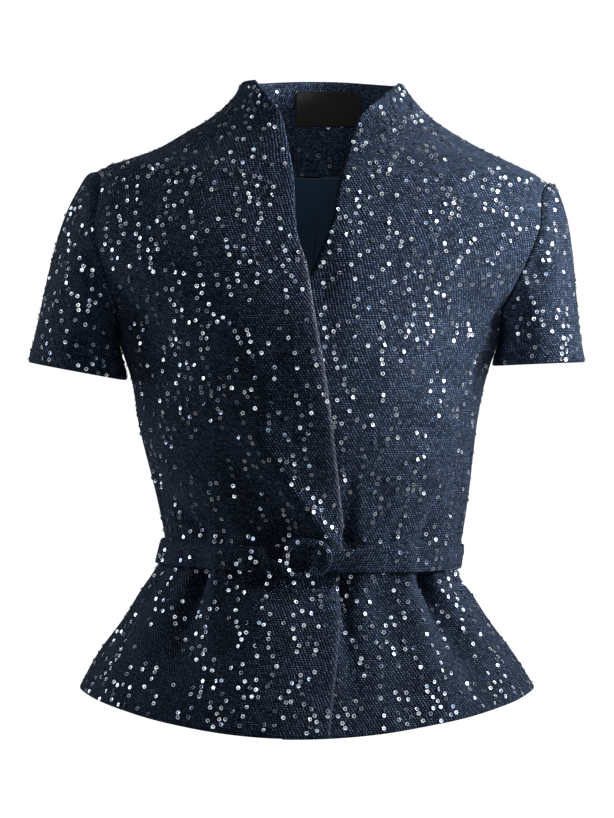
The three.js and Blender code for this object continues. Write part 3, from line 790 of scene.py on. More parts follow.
def wall_piece(name, outer, inner, across, down, material, ring=False):
    """A closed wall between two grids. A ring's last column lies on its first one."""
    rows, columns = outer.shape[:2]
    kept = columns - 1 if ring else columns
    layers = np.stack([outer[:, :kept], inner[:, :kept]])
    i, j = np.meshgrid(np.arange(rows), np.arange(columns), indexing="ij")
    out = i * kept + j % kept
    uv_index = i * columns + j

    def face_sets(a, b):
        sets = [
            quads(a[:-1, :-1], a[1:, :-1], a[1:, 1:], a[:-1, 1:]),
            quads(b[:-1, :-1], b[:-1, 1:], b[1:, 1:], b[1:, :-1]),
            quads(a[0, :-1], a[0, 1:], b[0, 1:], b[0, :-1]),
            quads(a[-1, :-1], b[-1, :-1], b[-1, 1:], a[-1, 1:]),
        ]
        if not ring:
            sets.append(quads(a[:-1, 0], b[:-1, 0], b[1:, 0], a[1:, 0]))
            sets.append(quads(a[:-1, -1], a[1:, -1], b[1:, -1], b[:-1, -1]))
        return np.concatenate(sets)

    faces = face_sets(out, out + rows * kept)
    corners = face_sets(uv_index, uv_index)
    cloth = np.stack([across.ravel(), -down.ravel()], -1)[corners.ravel()]
    return mesh_piece(name, layers.reshape(-1, 3), faces, cloth, material)


def body_heights():
    collar = blend(COLLAR_TOP, SHOULDER_TIP, shares(COLLAR_TOP - SHOULDER_TIP))
    armhole = armhole_height(np.linspace(0, np.pi, ARMHOLE_STEPS + 1))
    foot = WAIST + SEAM_GAP / 2
    below = blend(UNDERARM, foot, shares(UNDERARM - foot))
    return np.concatenate([collar[:-len(ROLLED)], armhole, below[len(ROLLED):]])


def panel_grid(places, start, end, width, over=None):
    """Angles of a panel's columns in each row, with some just past the lap's edge."""
    steps = shares(width)
    start, end = start[:, None], end[:, None]
    angles = blend(start, end, steps)
    if over is not None:
        knee = np.maximum(over[:, None] + LAP_PAST, blend(start, end, KNEE_LEAST))
        t = np.linspace(0, 1, len(steps))
        lapped = blend(start, knee, np.minimum(t / KNEE_STEPS, 1))
        free = blend(knee, end, np.maximum((t - KNEE_STEPS) / (1 - KNEE_STEPS), 0))
        angles = np.where(t < KNEE_STEPS, lapped, free)
    return angles, places[:, None] + 0 * angles


class Panel:
    """A cloth panel's faces and its cloth map, kept so that sequins can be sewn on it."""

    def __init__(self, outer, inner, normals, across, down, fuzz=None):
        self.outer, self.inner, self.normals = outer, inner, normals
        self.across, self.down, self.fuzz = across, down, fuzz


PANELS = {}


def make_panel(name, surface, places, start, end, width, middle, lap=None, turned=()):
    """A tweed panel. lap says over or under, for a front and its place in the wrap."""
    on_body = surface is body_point
    over = (body_edge if on_body else peplum_edge)(OVER_EDGE, places)
    angles, levels = panel_grid(places, start, end, width, over if lap == "under" else None)
    points, normals = surface(angles, levels), outward(surface, angles, levels)
    beyond = angles - over[:, None]
    sink, fuzz = 0.0, None
    if lap == "under":
        sink = under_sink(beyond, levels, on_body)
    elif lap == "over":
        sink = -over_rise(beyond, levels, on_body)
        across = run_lengths(points, 1)
        # Painted highlight: the over front is lighter in a narrow band along its edge, where the
        # rolled edge would catch the light
        fuzz = 1 - smoothstep(*LAP_HIGHLIGHT_WIDTH, across[:, -1:] - across)
        fuzz = fuzz * (1 - smoothstep(*LAP_HIGHLIGHT_TOP, levels) if on_body else PEPLUM_LAP_HIGHLIGHT)
    outer, inner = cloth_wall(points, normals, CLOTH, sink, turned)
    across, down = grain(surface, middle, angles, levels)
    PANELS[name] = Panel(outer, inner, normals, across, down, fuzz)
    return PANELS[name]


def add_cloth(name, panel, material, slot, held, rests_on=(), ring=False):
    piece = wall_piece(
        f"{name}_cloth", panel.outer, panel.inner, panel.across, panel.down, material, ring)
    if panel.fuzz is not None:
        # The painted highlight along the lap's edge goes on the mesh as a point attribute
        fuzz = piece.data.attributes.new("fuzz", "FLOAT", "POINT")
        fuzz.data.foreach_set("value", np.stack([panel.fuzz] * 2).astype(np.float32).ravel())
    return declare(piece, name)


def add_tweed(name, panel, **more):
    return add_cloth(name, panel, tweed_material(), "tweed", "draped", **more)


def declare(piece, node):
    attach(piece, BODY_NAME)
    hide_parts(node)
    return piece


def side_of_front(height):
    return SIDE - armhole_cut(height, ARMHOLE_FRONT) - SEAM_TURN


def side_of_back(height):
    return SIDE + armhole_cut(height, ARMHOLE_BACK) + SEAM_TURN


def sleeve_point(shape, turn, place):
    """A sleeve's outer face: turn runs from the shoulder by the front, place from seam to hem."""
    side = shape["side"]
    cut = np.where(np.sin(turn) > 0, ARMHOLE_FRONT, ARMHOLE_BACK)
    angle = side * (SIDE - cut * np.sin(turn))
    under = (1 - np.cos(turn)) / 2
    slope = blend(SLEEVE_HEAD_SLOPE, SLEEVE_FOOT_SLOPE, under)
    leave = np.stack([side * np.cos(slope), 0 * slope, -np.sin(slope)], -1)
    start = body_point(angle, armhole_height(turn)) + leave * SEAM_GAP
    (outer_x, outer_z), (inner_x, inner_z) = shape["outer"], shape["inner"]
    front_foot = (np.cos(turn) < 0) & (np.sin(turn) > 0)
    end = np.stack([
        side * blend(outer_x, inner_x, under),
        -SLEEVE_DEPTH * np.where(front_foot, abs(np.sin(turn)) ** SLEEVE_FULL, np.sin(turn)),
        blend(outer_z, inner_z, under),
    ], -1)
    tip = body_point(side * SIDE, SHOULDER_TIP)
    full = math.hypot(side * outer_x - tip[0], outer_z - tip[2])
    length = np.linalg.norm(start - end, axis=-1, keepdims=True) / full
    lean = shape["lean"] * (1 - under)
    arrive = np.stack([side * np.sin(lean), 0 * lean, -np.cos(lean)], -1)
    return hermite(
        np.asarray(place)[..., None], start, leave * shape["head_reach"] * length, end,
        arrive * shape["hem_reach"] * length)


def sleeve_normal(shape, turn, place):
    step = TURN_STEP
    low, high = np.maximum(place - step, 0), np.minimum(place + step, 1)
    across = sleeve_point(shape, turn + step, place) - sleeve_point(shape, turn - step, place)
    down = sleeve_point(shape, turn, high) - sleeve_point(shape, turn, low)
    return unit(np.cross(across, down) * shape["side"])


def sleeve_rise(turn, place):
    """The eased head stands proud of the armhole seam, and creases fall from the underarm."""
    head = np.exp(-((place - SLEEVE_HEAD_PLACE) / SLEEVE_HEAD_WIDTH) ** 2)
    head = head * smoothstep(*SLEEVE_HEAD_TOP, np.cos(turn)) * smoothstep(0, SLEEVE_SEAM, place)
    folds = fold_sum(SLEEVE_FOLDS, turn, place, SLEEVE_FOLD_LENGTH, SLEEVE_FOLD_RADIUS)
    hem_loss = SLEEVE_HEM_LOSS * smoothstep(SLEEVE_HEM_FROM, 1, place)
    return SLEEVE_HEAD_RISE * head - folds * smoothstep(0, SLEEVE_FOLD_FADE, place) * (1 - hem_loss)


def make_sleeve(name):
    shape = SLEEVES[name]
    turns = np.pi + shape["side"] * -np.linspace(0, 2 * np.pi, 2 * ARMHOLE_STEPS + 1)
    turn, place = np.meshgrid(turns, shares(SLEEVE_LENGTH))
    normals = sleeve_normal(shape, turn, place)
    points = sleeve_point(shape, turn, place) + normals * sleeve_rise(turn, place)[..., None]
    outer, inner = cloth_wall(
        points, normals, CLOTH, turned=("bottom",), plain=("left", "right"))
    across, down = run_lengths(points, 1), run_lengths(points, 0)
    across = across - across[:, -1:] / 2
    PANELS[name] = Panel(outer, inner, normals, across, down - down[-1:])
    return PANELS[name]


def belt_clear(angle, side):
    """Room between the waist's section and the belt, whose edges ride out on the cloth."""
    reach = settings().belt_width / MM / 2
    ring = body_ring(WAIST)
    over = body_point(angle, WAIST + reach) if side > 0 else peplum_point(angle, reach / FALL)
    plain = section_point(ring, angle, over[..., 2])
    centre, _ = middle_and_half(ring)
    rise, base = (np.hypot(spot[..., 0] - centre, spot[..., 1]) for spot in (over, plain))
    return np.maximum(rise - base, 0) + BELT_GAP


def belt_crumple(x, z):
    """The crumple where the belt is drawn in behind the buckle's left rim."""
    ridge = (z - WAIST - CREST_Z) * CREST_SLOPE[1] + (x - CREST_X) * CREST_SLOPE[0]
    crest = np.exp(-((ridge / np.where(ridge < 0, *CREST_WIDTHS)) ** 2))
    fold = z - WAIST - SECOND_Z + (x - SECOND_X) * SECOND_LEAN
    second = np.exp(-((fold / SECOND_WIDTH) ** 2))
    return (
        CREST_RISE * crest * plateau(x, *CREST_SPAN)
        + SECOND_RISE * second * plateau(x, *SECOND_SPAN)
    )


def strap_rise(x):
    """The strap comes up through the buckle and sinks again behind its far rim."""
    hollow = np.exp(-(((x - BELT_HOLLOW_X) / BELT_HOLLOW_WIDTH) ** 2))
    return BELT_SHOW * plateau(x, *BELT_SHOWN) - BELT_HOLLOW * hollow


def make_belt():
    """The belt as a flat tube swept round the waist."""
    ring = body_ring(WAIST)
    angle = blend(BELT_TAIL, BELT_END, shares(BELT_LENGTH, FINE_STEP))
    lift = (BELT_CLOTH + SEAM_GAP) * smoothstep(BELT_LIFT_FROM, BELT_LIFT_FULL, angle)
    from_tail = smoothstep(BELT_TAIL, BELT_TAIL + BELT_TAIL_TAPER, angle)
    taper = smoothstep(BELT_END - BELT_PINCH_TAPER, BELT_END - BELT_PINCHED, angle)
    reach = settings().belt_width / MM / 2 * blend(BELT_TAIL_POINT, 1, from_tail)
    reach = reach * blend(1, BELT_PINCH, taper)
    clear = {side: belt_clear(angle, side) for side in (1, -1)}
    rows = []
    for turn in np.linspace(0, 2 * np.pi, BELT_ROLL + 1):
        high = squared(np.cos(turn), BELT_SQUARE[0])
        out = (1 + squared(np.sin(turn), BELT_SQUARE[1])) / 2
        level = WAIST + high * reach + ring["tilt"] * np.sin(angle) / 2
        base = (clear[1] * (1 + high) + clear[-1] * (1 - high)) / 2 + lift
        x = section_point(ring, angle, level)[:, 0]
        bend = np.where(angle > np.pi, belt_crumple(x, level), strap_rise(x))
        bend = bend + BELT_RIB * np.sin(2 * np.pi * high * reach / BELT_RIB_GAP)
        bend = base + BELT_CLOTH * out + bend * (out > 0.5)
        rows.append(section_point(ring, angle, level, -bend))
    outer = np.stack(rows, 1)
    around = np.roll(outer[:, :-1], -1, 1) - np.roll(outer[:, :-1], 1, 1)
    around = np.concatenate([around, around[:, :1]], 1)
    normals = unit(np.cross(around, np.gradient(outer, axis=0)))
    across = run_lengths(outer, 1)
    down = np.broadcast_to(run_lengths(outer, 0)[:, :1], across.shape)
    return outer, outer - normals * BELT_WALL, -down, across


def strap_panel():
    """The part of the belt's outer face that shows, kept for its sequins."""
    outer, _, across, down = make_belt()
    middle = outer[:, BELT_ROLL // 4]
    steps = np.arange(len(outer))
    first = np.argmax((middle[:, 0] > STRAP_FROM) & (steps < len(outer) // 2))
    shown = (slice(first, None), slice(1, BELT_ROLL // 2))
    outer, across, down = outer[shown], across[shown], down[shown]
    normals = unit(np.cross(np.gradient(outer, axis=1), np.gradient(outer, axis=0)))
    PANELS["belt_strap"] = Panel(
        outer.swapaxes(0, 1), None, normals.swapaxes(0, 1), across, down)


def ring_piece(name, points, across, down, material):
    """A closed ring: the grid's last row and column lie on its first ones."""
    rows, columns = points.shape[:2]
    i, j = np.meshgrid(np.arange(rows), np.arange(columns), indexing="ij")
    at = (i % (rows - 1)) * (columns - 1) + j % (columns - 1)
    uv_at = i * columns + j

    def faces_of(a):
        return quads(a[:-1, :-1], a[1:, :-1], a[1:, 1:], a[:-1, 1:])

    cloth = np.stack([down.ravel(), -across.ravel()], -1)[faces_of(uv_at).ravel()]
    piece = mesh_piece(name, points[:-1, :-1].reshape(-1, 3), faces_of(at), cloth, material)
    return outward_faces(piece)


def outward_faces(piece):
    """Turns a closed mesh's faces outward, where its volume says they point in."""
    shape = bmesh.new()
    shape.from_mesh(piece.data)
    if shape.calc_volume(signed=True) < 0:
        bmesh.ops.reverse_faces(shape, faces=shape.faces)
    shape.to_mesh(piece.data)
    shape.free()
    return piece


def buckle_point(turn, roll):
    """The buckle's padded ring, a rounded square, gathered over its inner rim."""
    sizes = settings()
    half = (sizes.buckle_width / MM / 2, sizes.buckle_height / MM / 2)
    rim = sizes.buckle_rim / MM
    front = section_point(body_ring(WAIST), 0.0, WAIST)[1] - belt_clear(0.0, 1)
    middle = front - BELT_CLOTH - BUCKLE_GAP - BUCKLE_DEPTH / 2
    gathers = GATHER_DEPTH * np.sin(GATHERS * turn + ripple(turn, GATHER_SWAY))
    gathers = gathers * smoothstep(*GATHER_ROLL, np.cos(roll))
    wide = rim / 2 * (1 + ripple(turn, BUCKLE_WIDTHS)) + gathers
    reach = wide * squared(np.cos(roll), BUCKLE_FLAT) - rim / 2 + ripple(turn, BUCKLE_UNEVEN)
    corner = abs(np.cos(turn)) ** BUCKLE_CORNER + abs(np.sin(turn)) ** BUCKLE_CORNER
    corner = corner ** (-1 / BUCKLE_CORNER)
    thick = BUCKLE_DEPTH / 2 * (1 + ripple(turn, BUCKLE_THICKNESSES)) + gathers * GATHER_SHARE
    return np.stack([
        BUCKLE_X + (half[0] * corner + reach) * np.cos(turn),
        middle - thick * squared(np.sin(roll), BUCKLE_CROWN) + ripple(turn, BUCKLE_WARP),
        WAIST + BUCKLE_RISE + (half[1] * corner + reach) * np.sin(turn),
    ], -1)


def make_buckle():
    rolls, turns = (np.linspace(0, 2 * np.pi, count) for count in BUCKLE_STEPS)
    roll, turn = np.meshgrid(rolls, turns, indexing="ij")
    points = buckle_point(turn, roll)
    across = run_lengths(points, 0)
    down = np.broadcast_to(run_lengths(points, 1)[:1], across.shape)
    return points, across, down


def back_skin(heights, angles, inward, thickness, rise=None):
    """A layer inside the back, moved in from the back's own points."""
    levels = heights[:, None] + 0 * angles
    points, normals = body_point(angles, levels), outward(body_point, angles, levels)
    depth = inward + (0 if rise is None else rise(angles, levels))
    outer, inner = cloth_wall(points, normals, thickness, depth + 0 * angles)
    return Panel(outer, inner, normals, *grain(body_point, np.pi, angles, levels))


def make_facing():
    heights = blend(FACING_TOP, FACING_EDGE, shares(FACING_TOP - FACING_EDGE))
    _, half = middle_and_half(body_ring(heights))
    reach = np.arcsin(np.minimum(FACING_HALF / half, math.sin(FACING_TURN)))
    angles = np.pi + reach[:, None] * (2 * shares(FACING_WIDTH) - 1)
    return back_skin(heights, angles, CLOTH + FACING_GAP, FACING)


def lining_rise(angle, height):
    """The centre pleat, folded over with its edge at the centre, and the ease at the waist."""
    beyond = angle - np.pi
    pleat = np.where(beyond > 0, PLEAT_RISE * (1 - smoothstep(0, PLEAT_SPREAD, beyond)), 0)
    (turns, lean), (pitch, phase) = RIPPLE_ROUND, RIPPLE_DOWN
    ripples = np.sin(turns * angle + lean * height) * np.sin(pitch * height + phase)
    ease = LINING_EASE * (1 - smoothstep(LINING_FREE, LINING_HELD, height))
    return pleat + ease + RIPPLE_DEPTH * ripples * (np.abs(beyond) > PLEAT_SPREAD)


def make_lining():
    top = FACING_EDGE - SEAM_GAP
    heights = blend(top, LINING_FOOT, shares(top - LINING_FOOT, LINING_STEP))
    start = (side_of_back(heights) + LINING_MARGIN)[:, None]
    near = np.pi + np.radians(PLEAT_COLUMNS)
    columns = shares(LINING_HALF, LINING_STEP)
    angles = np.concatenate([
        blend(start, near[0], columns[:-len(ROLLED)]),
        near + 0 * start,
        blend(near[-1], 2 * np.pi - start, columns[len(ROLLED):]),
    ], 1)
    return back_skin(heights, angles, CLOTH + LAYER_GAP, LINING, lining_rise)


def make_label():
    """A woven label with its corners rounded, laid on the facing."""
    sizes = settings()
    width, height = sizes.label_width / MM, sizes.label_height / MM
    z = height * (0.5 - shares(height, LABEL_STEP))
    centre, half = middle_and_half(body_ring(LABEL_Z + z[:, None]))
    past = np.maximum(np.abs(z) - (height / 2 - LABEL_CORNER), 0)
    reach = width / 2 - (LABEL_CORNER - np.sqrt(LABEL_CORNER ** 2 - past ** 2))
    x = LABEL_X + reach[:, None] * (1 - 2 * shares(width, LABEL_STEP))
    angles = np.pi - np.arcsin((x - centre) / half)
    return back_skin(LABEL_Z + z, angles, CLOTH + FACING + LAYER_GAP, LABEL)


class Net:
    """A panel's grid of points, on which a place is given in mm across and down."""

    def __init__(self, panel):
        self.points, self.normals = panel.outer, panel.normals
        self.rows, self.columns = self.points.shape[:2]
        middle = self.columns // 2
        self.level = run_lengths(self.points[:, middle:middle + 1], 0)[:, 0]
        self.along = run_lengths(self.points, 1)
        self.row_steps = np.linalg.norm(np.diff(self.points, axis=0), axis=-1)
        self.middle_steps = self.row_steps[:, middle]
        self.area = (self.row_steps[:, :-1] * np.diff(self.along, axis=1)[:-1]).sum()

    def row(self, down):
        return int(np.clip(np.searchsorted(self.level, down), 1, self.rows - 1))

    def place(self, share, down):
        """The point, its facing and how much of the middle's spacing is left there."""
        row = self.row(down)
        along, level = self.along[row], self.level
        across = share * along[-1]
        column = int(np.clip(np.searchsorted(along, across), 1, self.columns - 1))
        part = (down - level[row - 1]) / max(level[row] - level[row - 1], TINY)
        side = (across - along[column - 1]) / max(along[column] - along[column - 1], TINY)
        corners = (
            (row - 1, column - 1, (1 - part) * (1 - side)), (row - 1, column, (1 - part) * side),
            (row, column - 1, part * (1 - side)), (row, column, part * side),
        )
        spot = sum(self.points[i, j] * weight for i, j, weight in corners)
        room = self.row_steps[row - 1, column - 1] / max(self.middle_steps[row - 1], TINY)
        return spot, self.normals[row, column], room


def sequin_places(panel, density, rng):
    """Places of sequins on a panel, in loose strings that wander down the cloth."""
    net = Net(panel)
    wanted = int(density * net.area / SQUARE_CM)
    lowest = net.level[-1] - SEQUIN_MARGIN
    spots, facings, strings = np.full((1, 3), FAR_AWAY), [], np.array([-1])
    for string in range(wanted * STRING_TRIES):
        if len(facings) >= wanted:
            break
        down = rng.uniform(SEQUIN_MARGIN, lowest)
        share = rng.uniform(0, 1)
        heading = rng.normal(0, STRING_LEAN)
        for _ in range(rng.choice(STRING_LENGTHS)):
            total = net.along[net.row(down), -1]
            margin = SEQUIN_MARGIN / total
            if not (margin < share < 1 - margin and SEQUIN_MARGIN < down < lowest):
                break
            spot, normal, room = net.place(share, down)
            gaps = np.linalg.norm(spots - spot, axis=1)
            own, others = gaps[strings == string], gaps[strings != string]
            clear = others.min() > rng.uniform(*STRING_GAP)
            clear = clear and (own.size == 0 or own.min() > SEQUIN_GAP)
            if clear and rng.random() < room:
                spots, strings = np.vstack([spots, spot]), np.append(strings, string)
                facings.append(unit(normal + rng.normal(0, SEQUIN_TILT, 3)))
            pace = rng.uniform(*STRING_PACE)
            down += pace * math.cos(heading)
            share += pace * math.sin(heading) / total
            heading = STRING_HOLD * heading + rng.normal(0, STRING_TURN)
    return spots[1:], np.array(facings)


def buckle_sequins():
    turn, roll = np.radians(BUCKLE_SEQUINS["turn"]), np.radians(BUCKLE_SEQUINS["roll"])
    step = TURN_STEP
    around = buckle_point(turn + step, roll) - buckle_point(turn - step, roll)
    over = buckle_point(turn, roll + step) - buckle_point(turn, roll - step)
    normals = unit(np.cross(over, around))
    return buckle_point(turn, roll), normals * -np.sign(normals[:, 1:2])


def new_group(name, kind, inputs, outputs):
    """A node group, what comes into it and its last node."""
    tree = bpy.data.node_groups.new(name, kind)
    for in_out, sockets in (("INPUT", inputs), ("OUTPUT", outputs)):
        for label, socket in sockets.items():
            socket_type = f"NodeSocket{socket}"
            tree.interface.new_socket(name=label, in_out=in_out, socket_type=socket_type)
    start = tree.nodes.new("NodeGroupInput")
    return tree, start.outputs, tree.nodes.new("NodeGroupOutput")


def feed(tree, target, value):
    """Links a socket to an input, or sets the input's value."""
    if isinstance(value, bpy.types.NodeSocket):
        tree.links.new(value, target)
    else:
        target.default_value = value


def fill(tree, node, **values):
    """Feeds a node's inputs by their names, with _ for a space."""
    for key, value in values.items():
        feed(tree, node.inputs[key.replace("_", " ")], value)


def add_node(tree, kind, **values):
    """A node with its settings; a key that isn't one of them names an input."""
    node = tree.nodes.new(kind)
    for key, value in values.items():
        if hasattr(node, key):
            setattr(node, key, value)
        else:
            fill(tree, node, **{key: value})
    return node


def maths(tree, operation, *values):
    node = add_node(tree, "ShaderNodeMath", operation=operation)
    for socket, value in zip(node.inputs, values):
        feed(tree, socket, value)
    return node.outputs[0]


def mix(tree, factor, first, second, **more):
    """One colour shading into another."""
    node = add_node(tree, "ShaderNodeMix", data_type="RGBA", **more)
    fill(tree, node, Factor=factor)
    for key, colour in (("A", first), ("B", second)):
        plain = not isinstance(colour, bpy.types.NodeSocket)
        feed(tree, node.inputs[key], (*colour, 1) if plain else colour)
    return node.outputs["Result"]


def mark_of(tree, name):
    return add_node(tree, "ShaderNodeAttribute", attribute_name=name).outputs["Fac"]


def relief(tree, height, strength, depth):
    """A bump whose depth is in mm."""
    node = add_node(tree, "ShaderNodeBump", Strength=strength, Distance=depth * MM, Height=height)
    return node.outputs[0]


def sequin_tree():
    """Geometry nodes: a pierced, slightly cupped disc on each point, made one mesh."""
    name = "sewn_sequins"
    if name in bpy.data.node_groups:
        return bpy.data.node_groups[name]
    tree, start, end = new_group(
        name, "GeometryNodeTree", {
            "Geometry": "Geometry", "Radius": "Float", "Hole": "Float", "Thickness": "Float",
            "Cup": "Float", "Material": "Material",
        }, {"Geometry": "Geometry"})
    half = maths(tree, "DIVIDE", maths(tree, "SUBTRACT", start["Radius"], start["Hole"]), 1.5)
    middle = maths(tree, "MULTIPLY_ADD", half, 0.5, start["Hole"])
    circle = "GeometryNodeCurvePrimitiveCircle"
    path = add_node(tree, circle, Resolution=SEQUIN_SIDES, Radius=middle)
    section = add_node(tree, circle, Resolution=3, Radius=1.0)
    corner = add_node(tree, "GeometryNodeInputPosition")
    corner = add_node(tree, "ShaderNodeSeparateXYZ", Vector=corner.outputs[0])
    rim = maths(tree, "MULTIPLY_ADD", corner.outputs["X"], 2 / 3, 1 / 3)
    mark = add_node(
        tree, "GeometryNodeStoreNamedAttribute", data_type="FLOAT", Name="rim",
        Geometry=section.outputs["Curve"], Value=rim)
    scale = add_node(tree, "ShaderNodeCombineXYZ", X=half, Y=start["Thickness"], Z=1.0)
    squash = add_node(
        tree, "GeometryNodeTransform", Geometry=mark.outputs["Geometry"], Scale=scale.outputs[0])
    tip = add_node(tree, "ShaderNodeCombineXYZ", X=0.0, Y=0.0, Z=start["Cup"])
    cup = add_node(
        tree, "GeometryNodeTransform", Geometry=squash.outputs[0], Rotation=tip.outputs[0])
    sweep = add_node(
        tree, "GeometryNodeCurveToMesh", Curve=path.outputs["Curve"], Profile_Curve=cup.outputs[0])
    lean = add_node(tree, "GeometryNodeInputNamedAttribute", data_type="FLOAT_VECTOR", Name="lean")
    align = add_node(
        tree, "FunctionNodeAlignRotationToVector", axis="Z", Vector=lean.outputs["Attribute"])
    scatter = add_node(
        tree, "GeometryNodeInstanceOnPoints", Points=start["Geometry"], Instance=sweep.outputs[0],
        Rotation=align.outputs[0])
    real = add_node(tree, "GeometryNodeRealizeInstances", Geometry=scatter.outputs[0])
    paint = add_node(
        tree, "GeometryNodeSetMaterial", Geometry=real.outputs[0], Material=start["Material"])
    fill(tree, end, Geometry=paint.outputs[0])
    return tree


def sew_sequins(name, spots, facings, material):
    """One mesh of all the sequins on a piece."""
    mesh = bpy.data.meshes.new(name)
    mesh.from_pydata(((spots + facings * SEQUIN_LIFT) * MM).tolist(), [], [])
    lean = mesh.attributes.new("lean", "FLOAT_VECTOR", "POINT")
    lean.data.foreach_set("vector", facings.astype(np.float32).ravel())
    shine = mesh.attributes.new("shine", "FLOAT", "POINT")
    rng = np.random.default_rng(len(spots))
    shine.data.foreach_set("value", rng.uniform(0, 1, len(spots)).astype(np.float32))
    piece = show(name, mesh)
    modifier = piece.modifiers.new("Sequins", "NODES")
    modifier.node_group = sequin_tree()
    sizes = settings()
    inputs = {
        "Radius": sizes.sequin_radius, "Hole": sizes.sequin_hole,
        "Thickness": sizes.sequin_thickness, "Cup": sizes.sequin_cup, "Material": material,
    }
    for item in modifier.node_group.interface.items_tree:
        if item.item_type == "SOCKET" and item.in_out == "INPUT" and item.name in inputs:
            modifier[item.identifier] = inputs[item.name]
    shown = piece.evaluated_get(bpy.context.evaluated_depsgraph_get())
    made = bpy.data.meshes.new_from_object(shown)
    piece.modifiers.clear()
    piece.data = made
    made.name = name
    made.shade_flat()
    bpy.data.meshes.remove(mesh)
    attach(piece, BODY_NAME)
    return outward_faces(piece)


def hopsack_group():
    """Shader group: the cloth's small round thread ends, in rows that step sideways."""
    name = "hopsack_weave"
    if name in bpy.data.node_groups:
        return bpy.data.node_groups[name]
    tree, start, end = new_group(
        name, "ShaderNodeTree",
        {"Cloth": "Vector", "Across": "Float", "Down": "Float", "Step": "Float"},
        {"Height": "Float", "Thread": "Float", "Slub": "Float"})
    wobble, slub = (
        add_node(
            tree, "ShaderNodeTexNoise", noise_dimensions="2D", Scale=scale, Detail=detail,
            Vector=start["Cloth"]).outputs[0]
        for scale, detail in (STRAY_NOISE, SLUB_NOISE))
    stray = maths(tree, "MULTIPLY", maths(tree, "SUBTRACT", wobble, 0.5), STRAY)
    split = add_node(tree, "ShaderNodeSeparateXYZ", Vector=start["Cloth"])
    down = maths(tree, "DIVIDE", maths(tree, "ADD", split.outputs[1], stray), start["Down"])
    across = maths(tree, "DIVIDE", split.outputs[0], start["Across"])
    across = maths(tree, "ADD", across, maths(tree, "MULTIPLY", down, start["Step"]))
    across = maths(tree, "ADD", across, stray)
    bumps = []
    for value, power in zip((across, down), THREAD_ROUND):
        wave = maths(tree, "COSINE", maths(tree, "MULTIPLY", value, 2 * math.pi))
        wave = maths(tree, "MULTIPLY_ADD", wave, 0.5, 0.5)
        bumps.append(maths(tree, "POWER", wave, power))
    cells = add_node(
        tree, "ShaderNodeCombineXYZ", X=maths(tree, "ROUND", across), Y=maths(tree, "ROUND", down))
    each = add_node(
        tree, "ShaderNodeTexWhiteNoise", noise_dimensions="2D", Vector=cells.outputs[0])
    each = each.outputs["Value"]
    height = maths(tree, "MULTIPLY", maths(tree, "MULTIPLY", *bumps),
                   maths(tree, "MULTIPLY_ADD", each, *THREAD_HEIGHT))
    fill(tree, end, Height=height, Thread=each, Slub=slub)
    return tree


def cloth_coordinates(tree):
    """The piece's own cloth map, in mm."""
    cloth = add_node(tree, "ShaderNodeUVMap", uv_map="cloth")
    scale = add_node(
        tree, "ShaderNodeVectorMath", operation="SCALE", Vector=cloth.outputs[0], Scale=1 / MM)
    return scale.outputs[0]


def seen_by_camera(tree):
    return tree.nodes.new("ShaderNodeLightPath").outputs["Is Camera Ray"]


def new_material(name):
    material = bpy.data.materials.new(name)
    material.use_nodes = True
    tree = material.node_tree
    return material, tree, tree.nodes["Principled BSDF"]


def tweed_material():
    name = "sequin_ground_tweed"
    if name in bpy.data.materials:
        return bpy.data.materials[name]
    finish = settings()
    material, tree, shader = new_material(name)
    weave = add_node(
        tree, "ShaderNodeGroup", node_tree=hopsack_group(), Cloth=cloth_coordinates(tree),
        Across=finish.weave_across / MM, Down=finish.weave_down / MM, Step=ROW_STEP).outputs
    variety = maths(tree, "ADD", weave["Thread"], THREAD_SHADE)
    drift = maths(tree, "SUBTRACT", weave["Slub"], 0.5)
    drift = maths(tree, "MULTIPLY", drift, SLUB_SHADE)
    thread = mix(
        tree, maths(tree, "ADD", variety, drift), finish.thread_dark, finish.thread_light)
    # Painted shade: the colour darkens towards the gap colour where the thread ends are low, in the
    # hollows between them
    shown = maths(tree, "POWER", weave["Height"], GAP_SHADE)
    cloth = mix(tree, shown, finish.weave_gap_shade, thread)
    # Painted highlight: the cloth lightens towards a pale colour along the lap's edge
    lap_light_mix = maths(tree, "MULTIPLY", mark_of(tree, "fuzz"), LAP_HIGHLIGHT_SHARE)
    fill(
        tree, shader, Base_Color=mix(tree, lap_light_mix, cloth, finish.lap_highlight_colour),
        Roughness=maths(tree, "MULTIPLY_ADD", weave["Height"], *TWEED_ROUGH),
        Normal=relief(tree, weave["Height"], *TWEED_RELIEF), Specular_IOR_Level=0.3,
        Specular_Tint=TWEED_SPECULAR, Sheen_Tint=TWEED_SHEEN, Sheen_Weight=0.08,
        Sheen_Roughness=0.5)
    return material


def lining_material():
    name = "lining_satin"
    if name in bpy.data.materials:
        return bpy.data.materials[name]
    material, tree, shader = new_material(name)
    cloth = cloth_coordinates(tree)
    fine = add_node(tree, "ShaderNodeTexNoise", Scale=0.06, Detail=3.0, Vector=cloth)
    dark, light = (Vector(settings().lining_colour) * shade for shade in SATIN_SHADE)
    stretch = add_node(tree, "ShaderNodeMapping", Scale=SATIN_STRETCH, Vector=cloth)
    twill = add_node(
        tree, "ShaderNodeTexNoise", Scale=1.0, Detail=2.0, Vector=stretch.outputs[0]).outputs[0]
    fill(
        tree, shader, Base_Color=mix(tree, fine.outputs[0], dark, light),
        Roughness=maths(tree, "MULTIPLY_ADD", twill, *SATIN_ROUGH),
        Normal=relief(tree, twill, *SATIN_RELIEF), Sheen_Weight=0.2)
    return material


